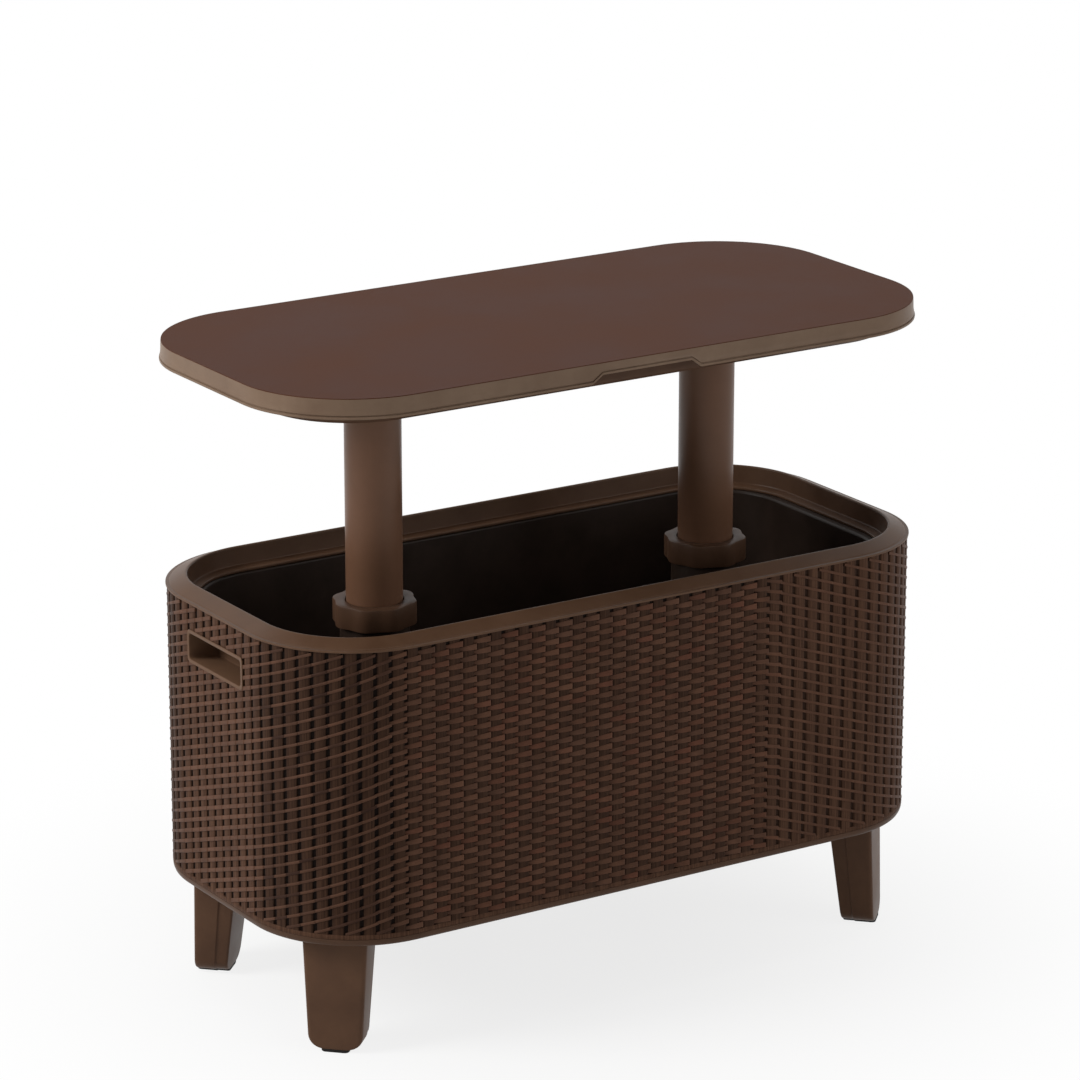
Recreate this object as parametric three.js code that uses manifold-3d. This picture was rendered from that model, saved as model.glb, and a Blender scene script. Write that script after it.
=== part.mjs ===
// An ice bucket coffee table: a wicker-moulded, foam-lined tub on four legs, with a lid that rises
// on two posts to make a bar table over the open tub. It is drawn with the lid raised.
// Units are millimetres, +Z is up, X runs along the tub and the front faces -Y.
// The origin is on the ground, under the middle of the tub.
import * as THREE from "three";
import { LoftGeometry } from "three/addons/geometries/LoftGeometry.js";
import { mergeVertices } from "three/addons/utils/BufferGeometryUtils.js";
import Module from "manifold-3d";

const wasm = await Module();
wasm.setup();

// Clearances
const GAP = 0.3; // between pieces that touch
const SLIDE_GAP = 0.5; // between a post and what it slides in
const TURN_GAP = 1; // between a lock collar and the guide that it turns on
const FOAM_GAP = 2; // round what passes through the foam
const OVERRUN = 4; // how far a cut runs past what it cuts

// Tub outline, and the heights of its base and of the ledge that the closed lid rests on
const TUB_LENGTH = 830;
const TUB_WIDTH = 407;
const TUB_CORNER = 129;
const LEG_HEIGHT = 130;
const TUB_HEIGHT = 330;

// Base pan: a tray whose rounded lip shows under the wicker shell
const LIP_INSET = 1.5;
const LIP_ROUND = 7;
const LIP_HEIGHT = 9;
const PAN_FLOOR = 4;
const PAN_WALL = 3;
const PAN_UPSTAND = 13;

// Wicker shell, from the faces of the weave's stakes inwards
const SHELL_INSET = 1.5;
const SHELL_WALL = 3.42;
const SHELL_BORDER = 7;
const STAKE_RELIEF = 1.5;
const STAKE_WIDTH = 10.6;
const STAKE_EDGE = 0.8;
const STAKE_SPACING = 34; // about every second stake of the weave

// Rim collar
const RIM_LIP = 2.2;
const RIM_LEDGE = 4;
const RIM_STEP = 1;
const RIM_BAND = 22;
const RIM_RISE = 8.5;
const RIM_CREST = 2;
const RIM_WALL = 3;
const RIM_THROAT = 22;
const RIM_DRAFT = 1;
const RIM_SHELF = 11;
const RIM_SHELF_FALL = 1.5;
const RIM_RIB = 12;

// Inner liner
const LINER_WALL = 2.5;
const LINER_FLOOR = 2.5;
const LINER_SIDE_INSET = 37;
const LINER_END_EXTRA = 9;
const LINER_DRAFT = 5;
const LINER_FLOOR_ROUND = 14;
const LINER_FLANGE = 15;
const UNDERFLOOR = 30;

// Foam
const FOAM_WALL = 20;

// Handle cups
const HANDLE_WIDTH = 112;
const HANDLE_HEIGHT = 29;
const HANDLE_CORNER = 3;
const HANDLE_DEPTH = 37;
const HANDLE_DROP = 49.5; // from the lid ledge down to the middle of the pocket
const HANDLE_SLOPE = 4;
const CUP_WALL = 2.5;
const CUP_BORDER = 4;

// Legs, in the radial direction of each corner: sizes at the top and at the foot
const LEG_TOP_WIDTH = 72;
const LEG_TOP_INNER = 50;
const LEG_TOP_OUTER = 100;
const LEG_FOOT_WIDTH = 59;
const LEG_FOOT_INNER = 67;
const LEG_FOOT_OUTER = 104;
const LEG_EDGE = 4;
const LEG_FOOT_ROUND = 14;
const LEG_WALL = 5;
const LEG_SOLID_FOOT = 32;
const LEG_BOSS = 11;
const PAD_HEIGHT = 3;
const PAD_PEG = 5;
const PAD_PEG_LENGTH = 8;
const BOLT_SHANK = 4;
const BOLT_LENGTH = 45;
const BOLT_FLANGE = 12;
const BOLT_FLANGE_HEIGHT = 2;
const BOLT_HEAD = 7;
const BOLT_HEAD_HEIGHT = 5;

// Posts, and the guides that they slide in
const POST_FROM_END = 198.2; // from the tub's end to a post's axis
const POST_RADIUS = 31;
const POST_WALL = 3;
const POST_WEB = 10;
const FOOT_HEIGHT = 24.4;
const FOOT_FLOOR = 3;
const LANDING_GAP = 1.5;
const GUIDE_BORE = 35;
const GUIDE_WALL = 3;
const GUIDE_FLOOR = 2.5;
const GUIDE_TOP_DROP = 23; // from the lid ledge down to the top of the guide
const GUIDE_FLANGE = 50;
const GUIDE_FLANGE_HEIGHT = 4;
const SEAL_HEIGHT = 1.5;
const BUSH_HEIGHT = 26;
const BUSH_FLANGE_HEIGHT = 3;
const COLLAR_RADIUS = 45;
const COLLAR_LOBE = 1.6;
const COLLAR_HEIGHT = 26;
const COLLAR_TOP = 4.4;
const COLLAR_LOBES = 8;

// Screws
const SCREW_SHANK = 2;
const SCREW_HEAD = 4.2;
const SCREW_HEAD_HEIGHT = 2.6;
const GUIDE_SCREW_CIRCLE = 44.5;
const GUIDE_SCREW_LENGTH = 16;
const SCREW_BOSS = 6;
const SCREW_BOSS_HEIGHT = 10;
const POST_SCREW_CIRCLE = 18;
const POST_SCREW_LENGTH = 10;
const LID_SCREW_LENGTH = 18;

// Drain
const DRAIN_BORE = 11;
const DRAIN_WALL = 3;
const DRAIN_FLANGE = 24;
const DRAIN_FLANGE_HEIGHT = 3;
const DRAIN_TAIL = 9; // how far the pipe stands out under the base
const NUT_RADIUS = 21;
const NUT_HEIGHT = 6;
const KNOB_RADIUS = 17;
const KNOB_HEIGHT = 10;
const KNOB_STEM = 28;

// Lid
const LID_OVERHANG = 1;
const LID_TAPER = 2;
const LID_HEIGHT = 22;
const LID_WALL = 3;
const LID_TOP = 3;
const LID_EDGE = 1.5;
const LID_FLARE_HEIGHT = 7;
const NOTCH_WIDTH = 138;
const NOTCH_TOP_WIDTH = 113;
const NOTCH_HEIGHT = 9;
const PLUG_INSET = 27.5;
const PLUG_DEPTH = 12;
const PLUG_WALL = 2.5;
const PLUG_ROUND = 4;
const FLANGE_HEIGHT = 2.5;
const GASKET_WIDTH = 7;
const GASKET_HEIGHT = 4;
const LID_BOSS = 7;
const LID_SCREW_FROM_END = 115;
const LID_SCREW_FROM_SIDE = 75.5;
const SOCKET_WALL = 3;
const SOCKET_RISE = 19.4; // from the plug's underside to the socket's ceiling

// How finely round shapes are cut
const CORNER_STEPS = 7;
const ROUND_STEPS = 20;
const SCREW_STEPS = 6;
const EDGE_STEPS = 2;

// Heights that several pieces share
const BASE_Z = LEG_HEIGHT;
const PAN_FLOOR_Z = BASE_Z + PAN_FLOOR;
const LIP_Z = BASE_Z + LIP_HEIGHT;
const LEDGE_Z = BASE_Z + TUB_HEIGHT;
const RIM_UNDER_Z = LEDGE_Z - RIM_LIP;
const CREST_Z = LEDGE_Z + RIM_RISE;
const SHELF_Z = CREST_Z - RIM_THROAT;
const SHELF_UNDER_Z = SHELF_Z - RIM_SHELF_FALL - RIM_WALL;
const LINER_TOP_Z = SHELF_UNDER_Z - GAP;
const LINER_UNDER_Z = BASE_Z + UNDERFLOOR;
const LINER_FLOOR_Z = LINER_UNDER_Z + LINER_FLOOR;
const SEAL_Z = LINER_FLOOR_Z + GAP;
const GUIDE_FLANGE_Z = SEAL_Z + SEAL_HEIGHT + GAP;
const GUIDE_BOTTOM_Z = PAN_FLOOR_Z + GAP;
const GUIDE_TOP_Z = LEDGE_Z - GUIDE_TOP_DROP;
const BUSH_FLANGE_Z = GUIDE_TOP_Z + GAP;
const BUSH_BOTTOM_Z = BUSH_FLANGE_Z - BUSH_HEIGHT;
const COLLAR_WEB_Z = BUSH_FLANGE_Z + BUSH_FLANGE_HEIGHT + GAP;
const COLLAR_TOP_Z = COLLAR_WEB_Z + COLLAR_TOP;
const LANDED_Z = GUIDE_BOTTOM_Z + GUIDE_FLOOR + LANDING_GAP;
const FOOT_Z = BUSH_BOTTOM_Z - GAP - FOOT_HEIGHT;
const LIFT = FOOT_Z - LANDED_Z; // from the closed lid to the raised one
const SKIRT_Z = LEDGE_Z + GAP + LIFT;
const LID_TOP_Z = SKIRT_Z + LID_HEIGHT;
const LID_UNDER_Z = LID_TOP_Z - LID_TOP;
const PLUG_Z = SKIRT_Z - PLUG_DEPTH;
const PLUG_FLOOR_Z = PLUG_Z + PLUG_WALL;
const GASKET_Z = CREST_Z + LIFT + GAP;
const FLANGE_Z = GASKET_Z + GASKET_HEIGHT + GAP;
const SOCKET_Z = PLUG_Z + SOCKET_RISE;
const POST_TOP_Z = SOCKET_Z - GAP;
const POST_BOTTOM_Z = FOOT_Z + FOOT_FLOOR + GAP;
const HANDLE_Z = LEDGE_Z - HANDLE_DROP;

// Insets from the tub's outline that several pieces share
const SHELL_INNER = SHELL_INSET + SHELL_WALL;
const UPSTAND_OUTER = SHELL_INNER + GAP;
const UPSTAND_INNER = UPSTAND_OUTER + PAN_WALL;
const FOAM_OUTER = UPSTAND_INNER + GAP;
const FOAM_INNER = FOAM_OUTER + FOAM_WALL;
const RIM_INNER = RIM_BAND + RIM_CREST;

// Materials
function plastic(color, roughness) {
  return new THREE.MeshStandardMaterial({ color, roughness, metalness: 0 });
}
const wickerBrown = plastic("#4a332c", 0.6);
const smoothBrown = plastic("#5b463a", 0.5);
const topBrown = plastic("#4f3830", 0.45);
const linerBlack = plastic("#1c1512", 0.6);
const foamWhite = plastic("#dedbd2", 0.9);
const padBlack = plastic("#171412", 0.85);
const bushGrey = plastic("#8c8880", 0.5);
const steel = new THREE.MeshStandardMaterial({ color: "#a3a4a6", roughness: 0.35, metalness: 0.9 });

const part = new THREE.Group();

function place(name, geometry, material, group = part) {
  const mesh = new THREE.Mesh(geometry, material);
  mesh.name = name;
  group.add(mesh);
  return mesh;
}

// A closed geometry as a solid that can be joined and cut
function solid(geometry) {
  const bare = geometry.index ? geometry.toNonIndexed() : geometry.clone();
  for (const name of Object.keys(bare.attributes)) {
    if (name !== "position") bare.deleteAttribute(name);
  }
  const merged = mergeVertices(bare, 1e-4);
  const corners = [];
  const index = merged.index.array;
  for (let i = 0; i < index.length; i += 3) {
    const [a, b, c] = [index[i], index[i + 1], index[i + 2]];
    if (a !== b && b !== c && c !== a) corners.push(a, b, c);
  }
  const vertProperties = merged.attributes.position.array;
  return new wasm.Manifold(
    new wasm.Mesh({ numProp: 3, vertProperties, triVerts: new Uint32Array(corners) }),
  );
}

// A solid as a geometry again, faceted
function geometryOf(shape) {
  const mesh = shape.getMesh();
  const geometry = new THREE.BufferGeometry();
  geometry.setAttribute("position", new THREE.BufferAttribute(mesh.vertProperties, 3));
  geometry.setIndex(new THREE.BufferAttribute(mesh.triVerts, 1));
  const faceted = geometry.toNonIndexed();
  faceted.computeVertexNormals();
  return faceted;
}

function cut(base, cutters) {
  return cutters.reduce((shape, cutter) => shape.subtract(solid(cutter)), base);
}

function join(base, pieces) {
  return pieces.reduce((shape, piece) => shape.add(solid(piece)), base);
}

// A rounded rectangle at one height, anticlockwise from above
function roundedRing(halfX, halfY, radius, z, steps = CORNER_STEPS) {
  const points = [];
  for (let corner = 0; corner < 4; corner++) {
    const signX = corner === 0 || corner === 3 ? 1 : -1;
    const signY = corner < 2 ? 1 : -1;
    for (let step = 0; step <= steps; step++) {
      const angle = ((corner + step / steps) * Math.PI) / 2;
      const x = signX * (halfX - radius) + radius * Math.cos(angle);
      const y = signY * (halfY - radius) + radius * Math.sin(angle);
      points.push(new THREE.Vector3(x, y, z));
    }
  }
  return points;
}

// The tub's outline drawn in by an inset, with the ends drawn in further where asked
function tubRing([inset, z, endExtra = 0]) {
  return roundedRing(
    TUB_LENGTH / 2 - inset - endExtra,
    TUB_WIDTH / 2 - inset,
    TUB_CORNER - inset - endExtra,
    z,
  );
}

// A solid whose profile of [inset, z] runs up its outside, closed below and above by a flat face
function block(profile) {
  return new LoftGeometry(profile.map(tubRing), { capStart: true, capEnd: true });
}

// The same with an open middle: the profile closes on itself
function band(profile) {
  return new LoftGeometry([...profile, profile[0]].map(tubRing));
}

// A turned piece about Z: its section is a list of [radius, z], anticlockwise with the axis at the left
function turned(profile, x = 0, y = 0, steps = ROUND_STEPS) {
  const points = profile.map(([radius, z]) => new THREE.Vector2(radius, z));
  const geometry = new THREE.LatheGeometry(points, steps);
  return geometry.rotateX(Math.PI / 2).translate(x, y, 0);
}

function rod(radius, low, high, x = 0, y = 0, steps = ROUND_STEPS) {
  return turned([[0, low], [radius, low], [radius, high], [0, high]], x, y, steps);
}

function tube(inner, outer, low, high, x = 0, y = 0) {
  return turned([[outer, low], [outer, high], [inner, high], [inner, low], [outer, low]], x, y);
}

// A screw with its head's seat at z = 0, its head above and its shank below
function screwGeometry(length) {
  const profile = [
    [0, -length],
    [SCREW_SHANK, -length + SCREW_SHANK],
    [SCREW_SHANK, 0],
    [SCREW_HEAD, 0],
    [SCREW_HEAD, SCREW_HEAD_HEIGHT / 2],
    [SCREW_HEAD - SCREW_HEAD_HEIGHT / 2, SCREW_HEAD_HEIGHT],
    [0, SCREW_HEAD_HEIGHT],
  ];
  return turned(profile, 0, 0, SCREW_STEPS);
}

// Where the corners' arcs are centred, and the legs' places along their diagonals
const corners = [
  ["front_left", -1, -1],
  ["front_right", 1, -1],
  ["rear_right", 1, 1],
  ["rear_left", -1, 1],
].map(([name, signX, signY]) => ({
  name,
  x: signX * (TUB_LENGTH / 2 - TUB_CORNER),
  y: signY * (TUB_WIDTH / 2 - TUB_CORNER),
  angle: Math.atan2(signY, signX),
}));
const LEG_AXIS = (LEG_TOP_INNER + LEG_TOP_OUTER) / 2;
const bolts = corners.map(({ x, y, angle }) => ({
  x: x + LEG_AXIS * Math.cos(angle),
  y: y + LEG_AXIS * Math.sin(angle),
}));
const posts = [
  { side: "left", x: POST_FROM_END - TUB_LENGTH / 2 },
  { side: "right", x: TUB_LENGTH / 2 - POST_FROM_END },
];
const guideScrews = posts.map(({ x }) =>
  [0, 1, 2].map((turn) => {
    const angle = Math.PI / 2 + (turn * 2 * Math.PI) / 3;
    return {
      x: x + GUIDE_SCREW_CIRCLE * Math.cos(angle),
      y: GUIDE_SCREW_CIRCLE * Math.sin(angle),
    };
  }),
);
const lidScrews = [-1, 0, 1].flatMap((signX) =>
  [-1, 1].map((signY) => ({
    x: signX * (TUB_LENGTH / 2 - LID_SCREW_FROM_END),
    y: signY * (TUB_WIDTH / 2 - LID_SCREW_FROM_SIDE),
  })),
);

// Base pan: floor, rounded lip that shows, ledge for the shell and an upstand inside it
function basePan() {
  const profile = [];
  for (let step = 0; step <= EDGE_STEPS; step++) {
    const angle = (step / EDGE_STEPS) * (Math.PI / 2);
    profile.push([
      LIP_INSET + LIP_ROUND * (1 - Math.sin(angle)),
      BASE_Z + LIP_ROUND * (1 - Math.cos(angle)),
    ]);
  }
  profile.push(
    [LIP_INSET, LIP_Z],
    [UPSTAND_OUTER, LIP_Z],
    [UPSTAND_OUTER, LIP_Z + PAN_UPSTAND],
  );
  const inside = block([
    [UPSTAND_INNER, PAN_FLOOR_Z],
    [UPSTAND_INNER, LIP_Z + PAN_UPSTAND + OVERRUN],
  ]);
  const holes = bolts.map(({ x, y }) =>
    rod(BOLT_SHANK + GAP, BASE_Z - OVERRUN, PAN_FLOOR_Z + OVERRUN, x, y),
  );
  holes.push(rod(DRAIN_BORE + DRAIN_WALL + GAP, BASE_Z - OVERRUN, PAN_FLOOR_Z + OVERRUN));
  return geometryOf(cut(solid(block(profile)), [inside, ...holes]));
}
place("base_pan", basePan(), smoothBrown);

// Handle cups: a pocket let into each end wall, open outwards, with a border that laps the shell.
// The block is the pocket's shape drawn out by a wall; it serves as the cup's body and as the cut.
const HANDLE_FACE = TUB_LENGTH / 2;
function pocketRing(spread, depth, drop = 0) {
  const ring = roundedRing(
    HANDLE_WIDTH / 2 + spread,
    HANDLE_HEIGHT / 2 + spread,
    HANDLE_CORNER + Math.max(spread, 0),
    HANDLE_FACE - depth,
    EDGE_STEPS,
  );
  // a lower back edge lets the floor fall inwards
  for (const point of ring) if (point.y < 0) point.y -= drop;
  return ring;
}
const CUP_BACK = HANDLE_DEPTH + CUP_WALL;
const BORDER_DEPTH = SHELL_INSET - GAP;
function standUp(geometry) {
  const turn = new THREE.Matrix4().makeBasis(
    new THREE.Vector3(0, 1, 0),
    new THREE.Vector3(0, 0, 1),
    new THREE.Vector3(1, 0, 0),
  );
  return geometry.applyMatrix4(turn).translate(0, 0, HANDLE_Z);
}
function handleCup() {
  const outside = [
    pocketRing(CUP_WALL, CUP_BACK, HANDLE_SLOPE),
    pocketRing(CUP_WALL, BORDER_DEPTH),
    pocketRing(CUP_BORDER, BORDER_DEPTH),
    pocketRing(CUP_BORDER, 0),
  ];
  const inside = [pocketRing(0, HANDLE_DEPTH, HANDLE_SLOPE), pocketRing(0, -OVERRUN)];
  const caps = { capStart: true, capEnd: true };
  const body = solid(standUp(new LoftGeometry(outside, caps)));
  return geometryOf(cut(body, [standUp(new LoftGeometry(inside, caps))]));
}
function handleCut() {
  const sections = [
    pocketRing(CUP_WALL + GAP, CUP_BACK + OVERRUN, HANDLE_SLOPE),
    pocketRing(CUP_WALL + GAP, -OVERRUN),
  ];
  return standUp(new LoftGeometry(sections, { capStart: true, capEnd: true }));
}
const handleCuts = [handleCut(), handleCut().rotateZ(Math.PI)];
place("handle_cup_right", handleCup(), smoothBrown);
place("handle_cup_left", handleCup(), smoothBrown).rotation.z = Math.PI;

// Outer shell: the wall that carries the moulded weave, with the main stakes of the weave, a plain
// border below them, and a window at each end for the handles
const sides = [TUB_WIDTH, TUB_LENGTH, TUB_WIDTH, TUB_LENGTH].map((length) => length - 2 * TUB_CORNER);
const QUARTER = (Math.PI / 2) * TUB_CORNER;
const OUTLINE = sides.reduce((total, side) => total + side + QUARTER, 0);
// The point at a distance along the outline from the middle of the right end, drawn in by an inset
function outlinePoint(distance, inset) {
  let rest = distance + sides[0] / 2;
  let side = 0;
  while (side < 4 && rest > sides[side] + QUARTER) {
    rest -= sides[side] + QUARTER;
    side += 1;
  }
  const straight = Math.min(rest, sides[side % 4]);
  const start = (side * Math.PI) / 2;
  const angle = start + (rest - straight) / TUB_CORNER;
  const centre = corners[(side + 1) % 4];
  return new THREE.Vector2(
    centre.x - straight * Math.sin(start) + (TUB_CORNER - inset) * Math.cos(angle),
    centre.y + straight * Math.cos(start) + (TUB_CORNER - inset) * Math.sin(angle),
  );
}
function stakedWall(low, high) {
  const count = Math.round(OUTLINE / STAKE_SPACING);
  const pitch = OUTLINE / count;
  const ground = SHELL_INSET + STAKE_RELIEF;
  const section = [
    [-STAKE_WIDTH / 2 - STAKE_EDGE, ground],
    [-STAKE_WIDTH / 2, SHELL_INSET],
    [STAKE_WIDTH / 2, SHELL_INSET],
    [STAKE_WIDTH / 2 + STAKE_EDGE, ground],
    [pitch / 2, ground],
  ];
  const outline = [];
  for (let stake = 0; stake < count; stake++) {
    for (const [across, inset] of section) outline.push(outlinePoint(stake * pitch + across, inset));
  }
  const shape = new THREE.Shape(outline);
  const wall = new THREE.ExtrudeGeometry(shape, { depth: high - low, bevelEnabled: false });
  return wall.translate(0, 0, low);
}
function outerShell() {
  const low = LIP_Z + GAP;
  const high = RIM_UNDER_Z - GAP;
  const border = block([
    [SHELL_INSET, low],
    [SHELL_INSET, low + SHELL_BORDER],
  ]);
  const inside = block([
    [SHELL_INNER, low - OVERRUN],
    [SHELL_INNER, high + OVERRUN],
  ]);
  return geometryOf(cut(join(solid(stakedWall(low, high)), [border]), [inside, ...handleCuts]));
}
place("outer_shell", outerShell(), wickerBrown);

// Rim collar: seat ledge, sloping band, crest, throat and shelf, with a rib inside the shell
const SLOPE = (RIM_RISE - RIM_STEP) / (RIM_BAND - RIM_LEDGE - RIM_STEP);
function bandUnder(inset) {
  return LEDGE_Z + RIM_STEP + SLOPE * (inset - RIM_LEDGE - RIM_STEP) - RIM_WALL;
}
const THROAT_INSET = RIM_INNER + RIM_DRAFT;
const SHELF_INSET = THROAT_INSET + RIM_SHELF;
const rimProfile = [
  [0, RIM_UNDER_Z],
  [0, LEDGE_Z],
  [RIM_LEDGE, LEDGE_Z],
  [RIM_LEDGE + RIM_STEP, LEDGE_Z + RIM_STEP],
  [RIM_BAND, CREST_Z],
  [RIM_INNER, CREST_Z - RIM_STEP],
  [THROAT_INSET, SHELF_Z],
  [SHELF_INSET, SHELF_Z - RIM_SHELF_FALL],
  [SHELF_INSET, SHELF_UNDER_Z],
  [THROAT_INSET - RIM_WALL, SHELF_UNDER_Z],
  [THROAT_INSET - RIM_WALL, bandUnder(THROAT_INSET - RIM_WALL)],
  [UPSTAND_INNER, bandUnder(UPSTAND_INNER)],
  [UPSTAND_INNER, RIM_UNDER_Z - RIM_RIB],
  [UPSTAND_OUTER, RIM_UNDER_Z - RIM_RIB],
  [UPSTAND_OUTER, RIM_UNDER_Z],
];
place("rim_collar", band(rimProfile), smoothBrown);

// Inner liner: the tub that holds the ice, hung by its flange under the rim's shelf
const FLANGE_INSET = LINER_SIDE_INSET - LINER_FLANGE;
function innerLiner() {
  const foot = LINER_SIDE_INSET + LINER_DRAFT;
  const outside = block([
    [foot - LINER_WALL + LINER_FLOOR_ROUND, LINER_UNDER_Z, LINER_END_EXTRA],
    [foot - LINER_WALL, LINER_UNDER_Z + LINER_FLOOR_ROUND, LINER_END_EXTRA],
    [LINER_SIDE_INSET - LINER_WALL, LINER_TOP_Z - LINER_WALL, LINER_END_EXTRA],
    [FLANGE_INSET, LINER_TOP_Z - LINER_WALL],
    [FLANGE_INSET, LINER_TOP_Z],
  ]);
  const inside = block([
    [foot + LINER_FLOOR_ROUND, LINER_FLOOR_Z, LINER_END_EXTRA],
    [foot, LINER_FLOOR_Z + LINER_FLOOR_ROUND, LINER_END_EXTRA],
    [LINER_SIDE_INSET, LINER_TOP_Z, LINER_END_EXTRA],
    [LINER_SIDE_INSET, LINER_TOP_Z + OVERRUN, LINER_END_EXTRA],
  ]);
  const places = guideScrews.flat();
  const bosses = places.map(({ x, y }) =>
    rod(SCREW_BOSS, LINER_UNDER_Z - SCREW_BOSS_HEIGHT, LINER_FLOOR_Z, x, y, SCREW_STEPS),
  );
  const low = LINER_UNDER_Z - SCREW_BOSS_HEIGHT + LINER_FLOOR;
  const high = LINER_FLOOR_Z + OVERRUN;
  const holes = [
    ...places.map(({ x, y }) => rod(SCREW_SHANK + GAP, low, high, x, y, SCREW_STEPS)),
    ...posts.map(({ x }) =>
      rod(GUIDE_BORE + GUIDE_WALL + GAP, LINER_UNDER_Z - SCREW_BOSS_HEIGHT - OVERRUN, high, x),
    ),
    rod(DRAIN_BORE + DRAIN_WALL + GAP, LINER_UNDER_Z - OVERRUN, high),
  ];
  return geometryOf(cut(join(cut(solid(outside), [inside]), bosses), holes));
}
place("inner_liner", innerLiner(), linerBlack);

// Foam: a sleeve inside the shell and a slab under the liner, both standing on the base pan
const FOAM_BOTTOM_Z = PAN_FLOOR_Z + GAP;
const foamSleeve = band([
  [FOAM_OUTER, FOAM_BOTTOM_Z],
  [FOAM_OUTER, LINER_TOP_Z - LINER_WALL - GAP],
  [FOAM_INNER, LINER_TOP_Z - LINER_WALL - GAP],
  [FOAM_INNER, FOAM_BOTTOM_Z],
]);
place("insulation_sleeve", geometryOf(cut(solid(foamSleeve), handleCuts)), foamWhite);
function floorSlab() {
  const top = LINER_UNDER_Z - GAP;
  const slab = block([
    [FOAM_INNER + GAP, FOAM_BOTTOM_Z],
    [FOAM_INNER + GAP, top],
  ]);
  const boltTop = PAN_FLOOR_Z + GAP + BOLT_FLANGE_HEIGHT + BOLT_HEAD_HEIGHT + FOAM_GAP;
  const low = FOAM_BOTTOM_Z - OVERRUN;
  const holes = [
    ...bolts.map(({ x, y }) => rod(BOLT_FLANGE + FOAM_GAP, low, boltTop, x, y)),
    ...posts.map(({ x }) => rod(GUIDE_SCREW_CIRCLE + SCREW_BOSS + FOAM_GAP, low, top + OVERRUN, x)),
    rod(DRAIN_BORE + DRAIN_WALL + FOAM_GAP, low, top + OVERRUN),
  ];
  return geometryOf(cut(solid(slab), holes));
}
place("insulation_floor", floorSlab(), foamWhite);

// Legs: tapered boxes set on the corners' diagonals, open at the top, with a boss for the bolt
function legRing(height, shrink = 0, wall = 0) {
  const share = height / LEG_HEIGHT;
  const width = LEG_FOOT_WIDTH + (LEG_TOP_WIDTH - LEG_FOOT_WIDTH) * share - 2 * (shrink + wall);
  const inner = LEG_FOOT_INNER + (LEG_TOP_INNER - LEG_FOOT_INNER) * share + wall;
  const outer = LEG_FOOT_OUTER + (LEG_TOP_OUTER - LEG_FOOT_OUTER) * share - wall;
  const edge = wall > 0 ? LEG_EDGE / 2 : LEG_EDGE;
  const ring = roundedRing((outer - inner) / 2, width / 2, edge, height, EDGE_STEPS);
  for (const point of ring) point.x += (outer + inner) / 2;
  return ring;
}
function leg() {
  const bottom = PAD_HEIGHT + GAP;
  const top = LEG_HEIGHT - GAP;
  const sections = [];
  for (let step = 0; step <= EDGE_STEPS + 1; step++) {
    const angle = (step / (EDGE_STEPS + 1)) * (Math.PI / 2);
    const height = bottom + LEG_FOOT_ROUND * (1 - Math.cos(angle));
    sections.push(legRing(height, LEG_FOOT_ROUND * (1 - Math.sin(angle))));
  }
  sections.push(legRing(top));
  const caps = { capStart: true, capEnd: true };
  const hollow = [legRing(LEG_SOLID_FOOT, 0, LEG_WALL), legRing(top + OVERRUN, 0, LEG_WALL)];
  const boss = rod(LEG_BOSS, LEG_SOLID_FOOT - LEG_WALL, top, LEG_AXIS);
  const boltHole = rod(BOLT_SHANK + GAP, top - BOLT_LENGTH, top + OVERRUN, LEG_AXIS);
  const pegHole = rod(PAD_PEG + GAP, 0, PAD_HEIGHT + PAD_PEG_LENGTH + GAP, PAD_AXIS);
  const body = solid(new LoftGeometry(sections, caps));
  const walls = body.subtract(solid(new LoftGeometry(hollow, caps)));
  return geometryOf(cut(join(walls, [boss]), [boltHole, pegHole]));
}
function footPad() {
  const plate = [legRing(0, LEG_FOOT_ROUND), legRing(PAD_HEIGHT, LEG_FOOT_ROUND)];
  const peg = rod(PAD_PEG, PAD_HEIGHT / 2, PAD_HEIGHT + PAD_PEG_LENGTH, PAD_AXIS);
  const body = solid(new LoftGeometry(plate, { capStart: true, capEnd: true }));
  return geometryOf(join(body, [peg]));
}
function legBolt() {
  const seat = PAN_FLOOR_Z + GAP;
  const flangeTop = seat + BOLT_FLANGE_HEIGHT;
  const profile = [
    [0, seat - BOLT_LENGTH],
    [BOLT_SHANK, seat - BOLT_LENGTH + BOLT_SHANK / 2],
    [BOLT_SHANK, seat],
    [BOLT_FLANGE, seat],
    [BOLT_FLANGE, flangeTop],
    [BOLT_HEAD, flangeTop],
    [BOLT_HEAD, flangeTop + BOLT_HEAD_HEIGHT],
    [0, flangeTop + BOLT_HEAD_HEIGHT],
  ];
  return turned(profile, LEG_AXIS, 0, SCREW_STEPS);
}
const PAD_AXIS = (LEG_FOOT_INNER + LEG_FOOT_OUTER) / 2;
for (const { name, x, y, angle } of corners) {
  const corner = new THREE.Group();
  corner.position.set(x, y, 0);
  corner.rotation.z = angle;
  place(`leg_${name}`, leg(), smoothBrown, corner);
  place(`foot_pad_${name}`, footPad(), padBlack, corner);
  place(`leg_bolt_${name}`, legBolt(), steel, corner);
  part.add(corner);
}

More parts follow.
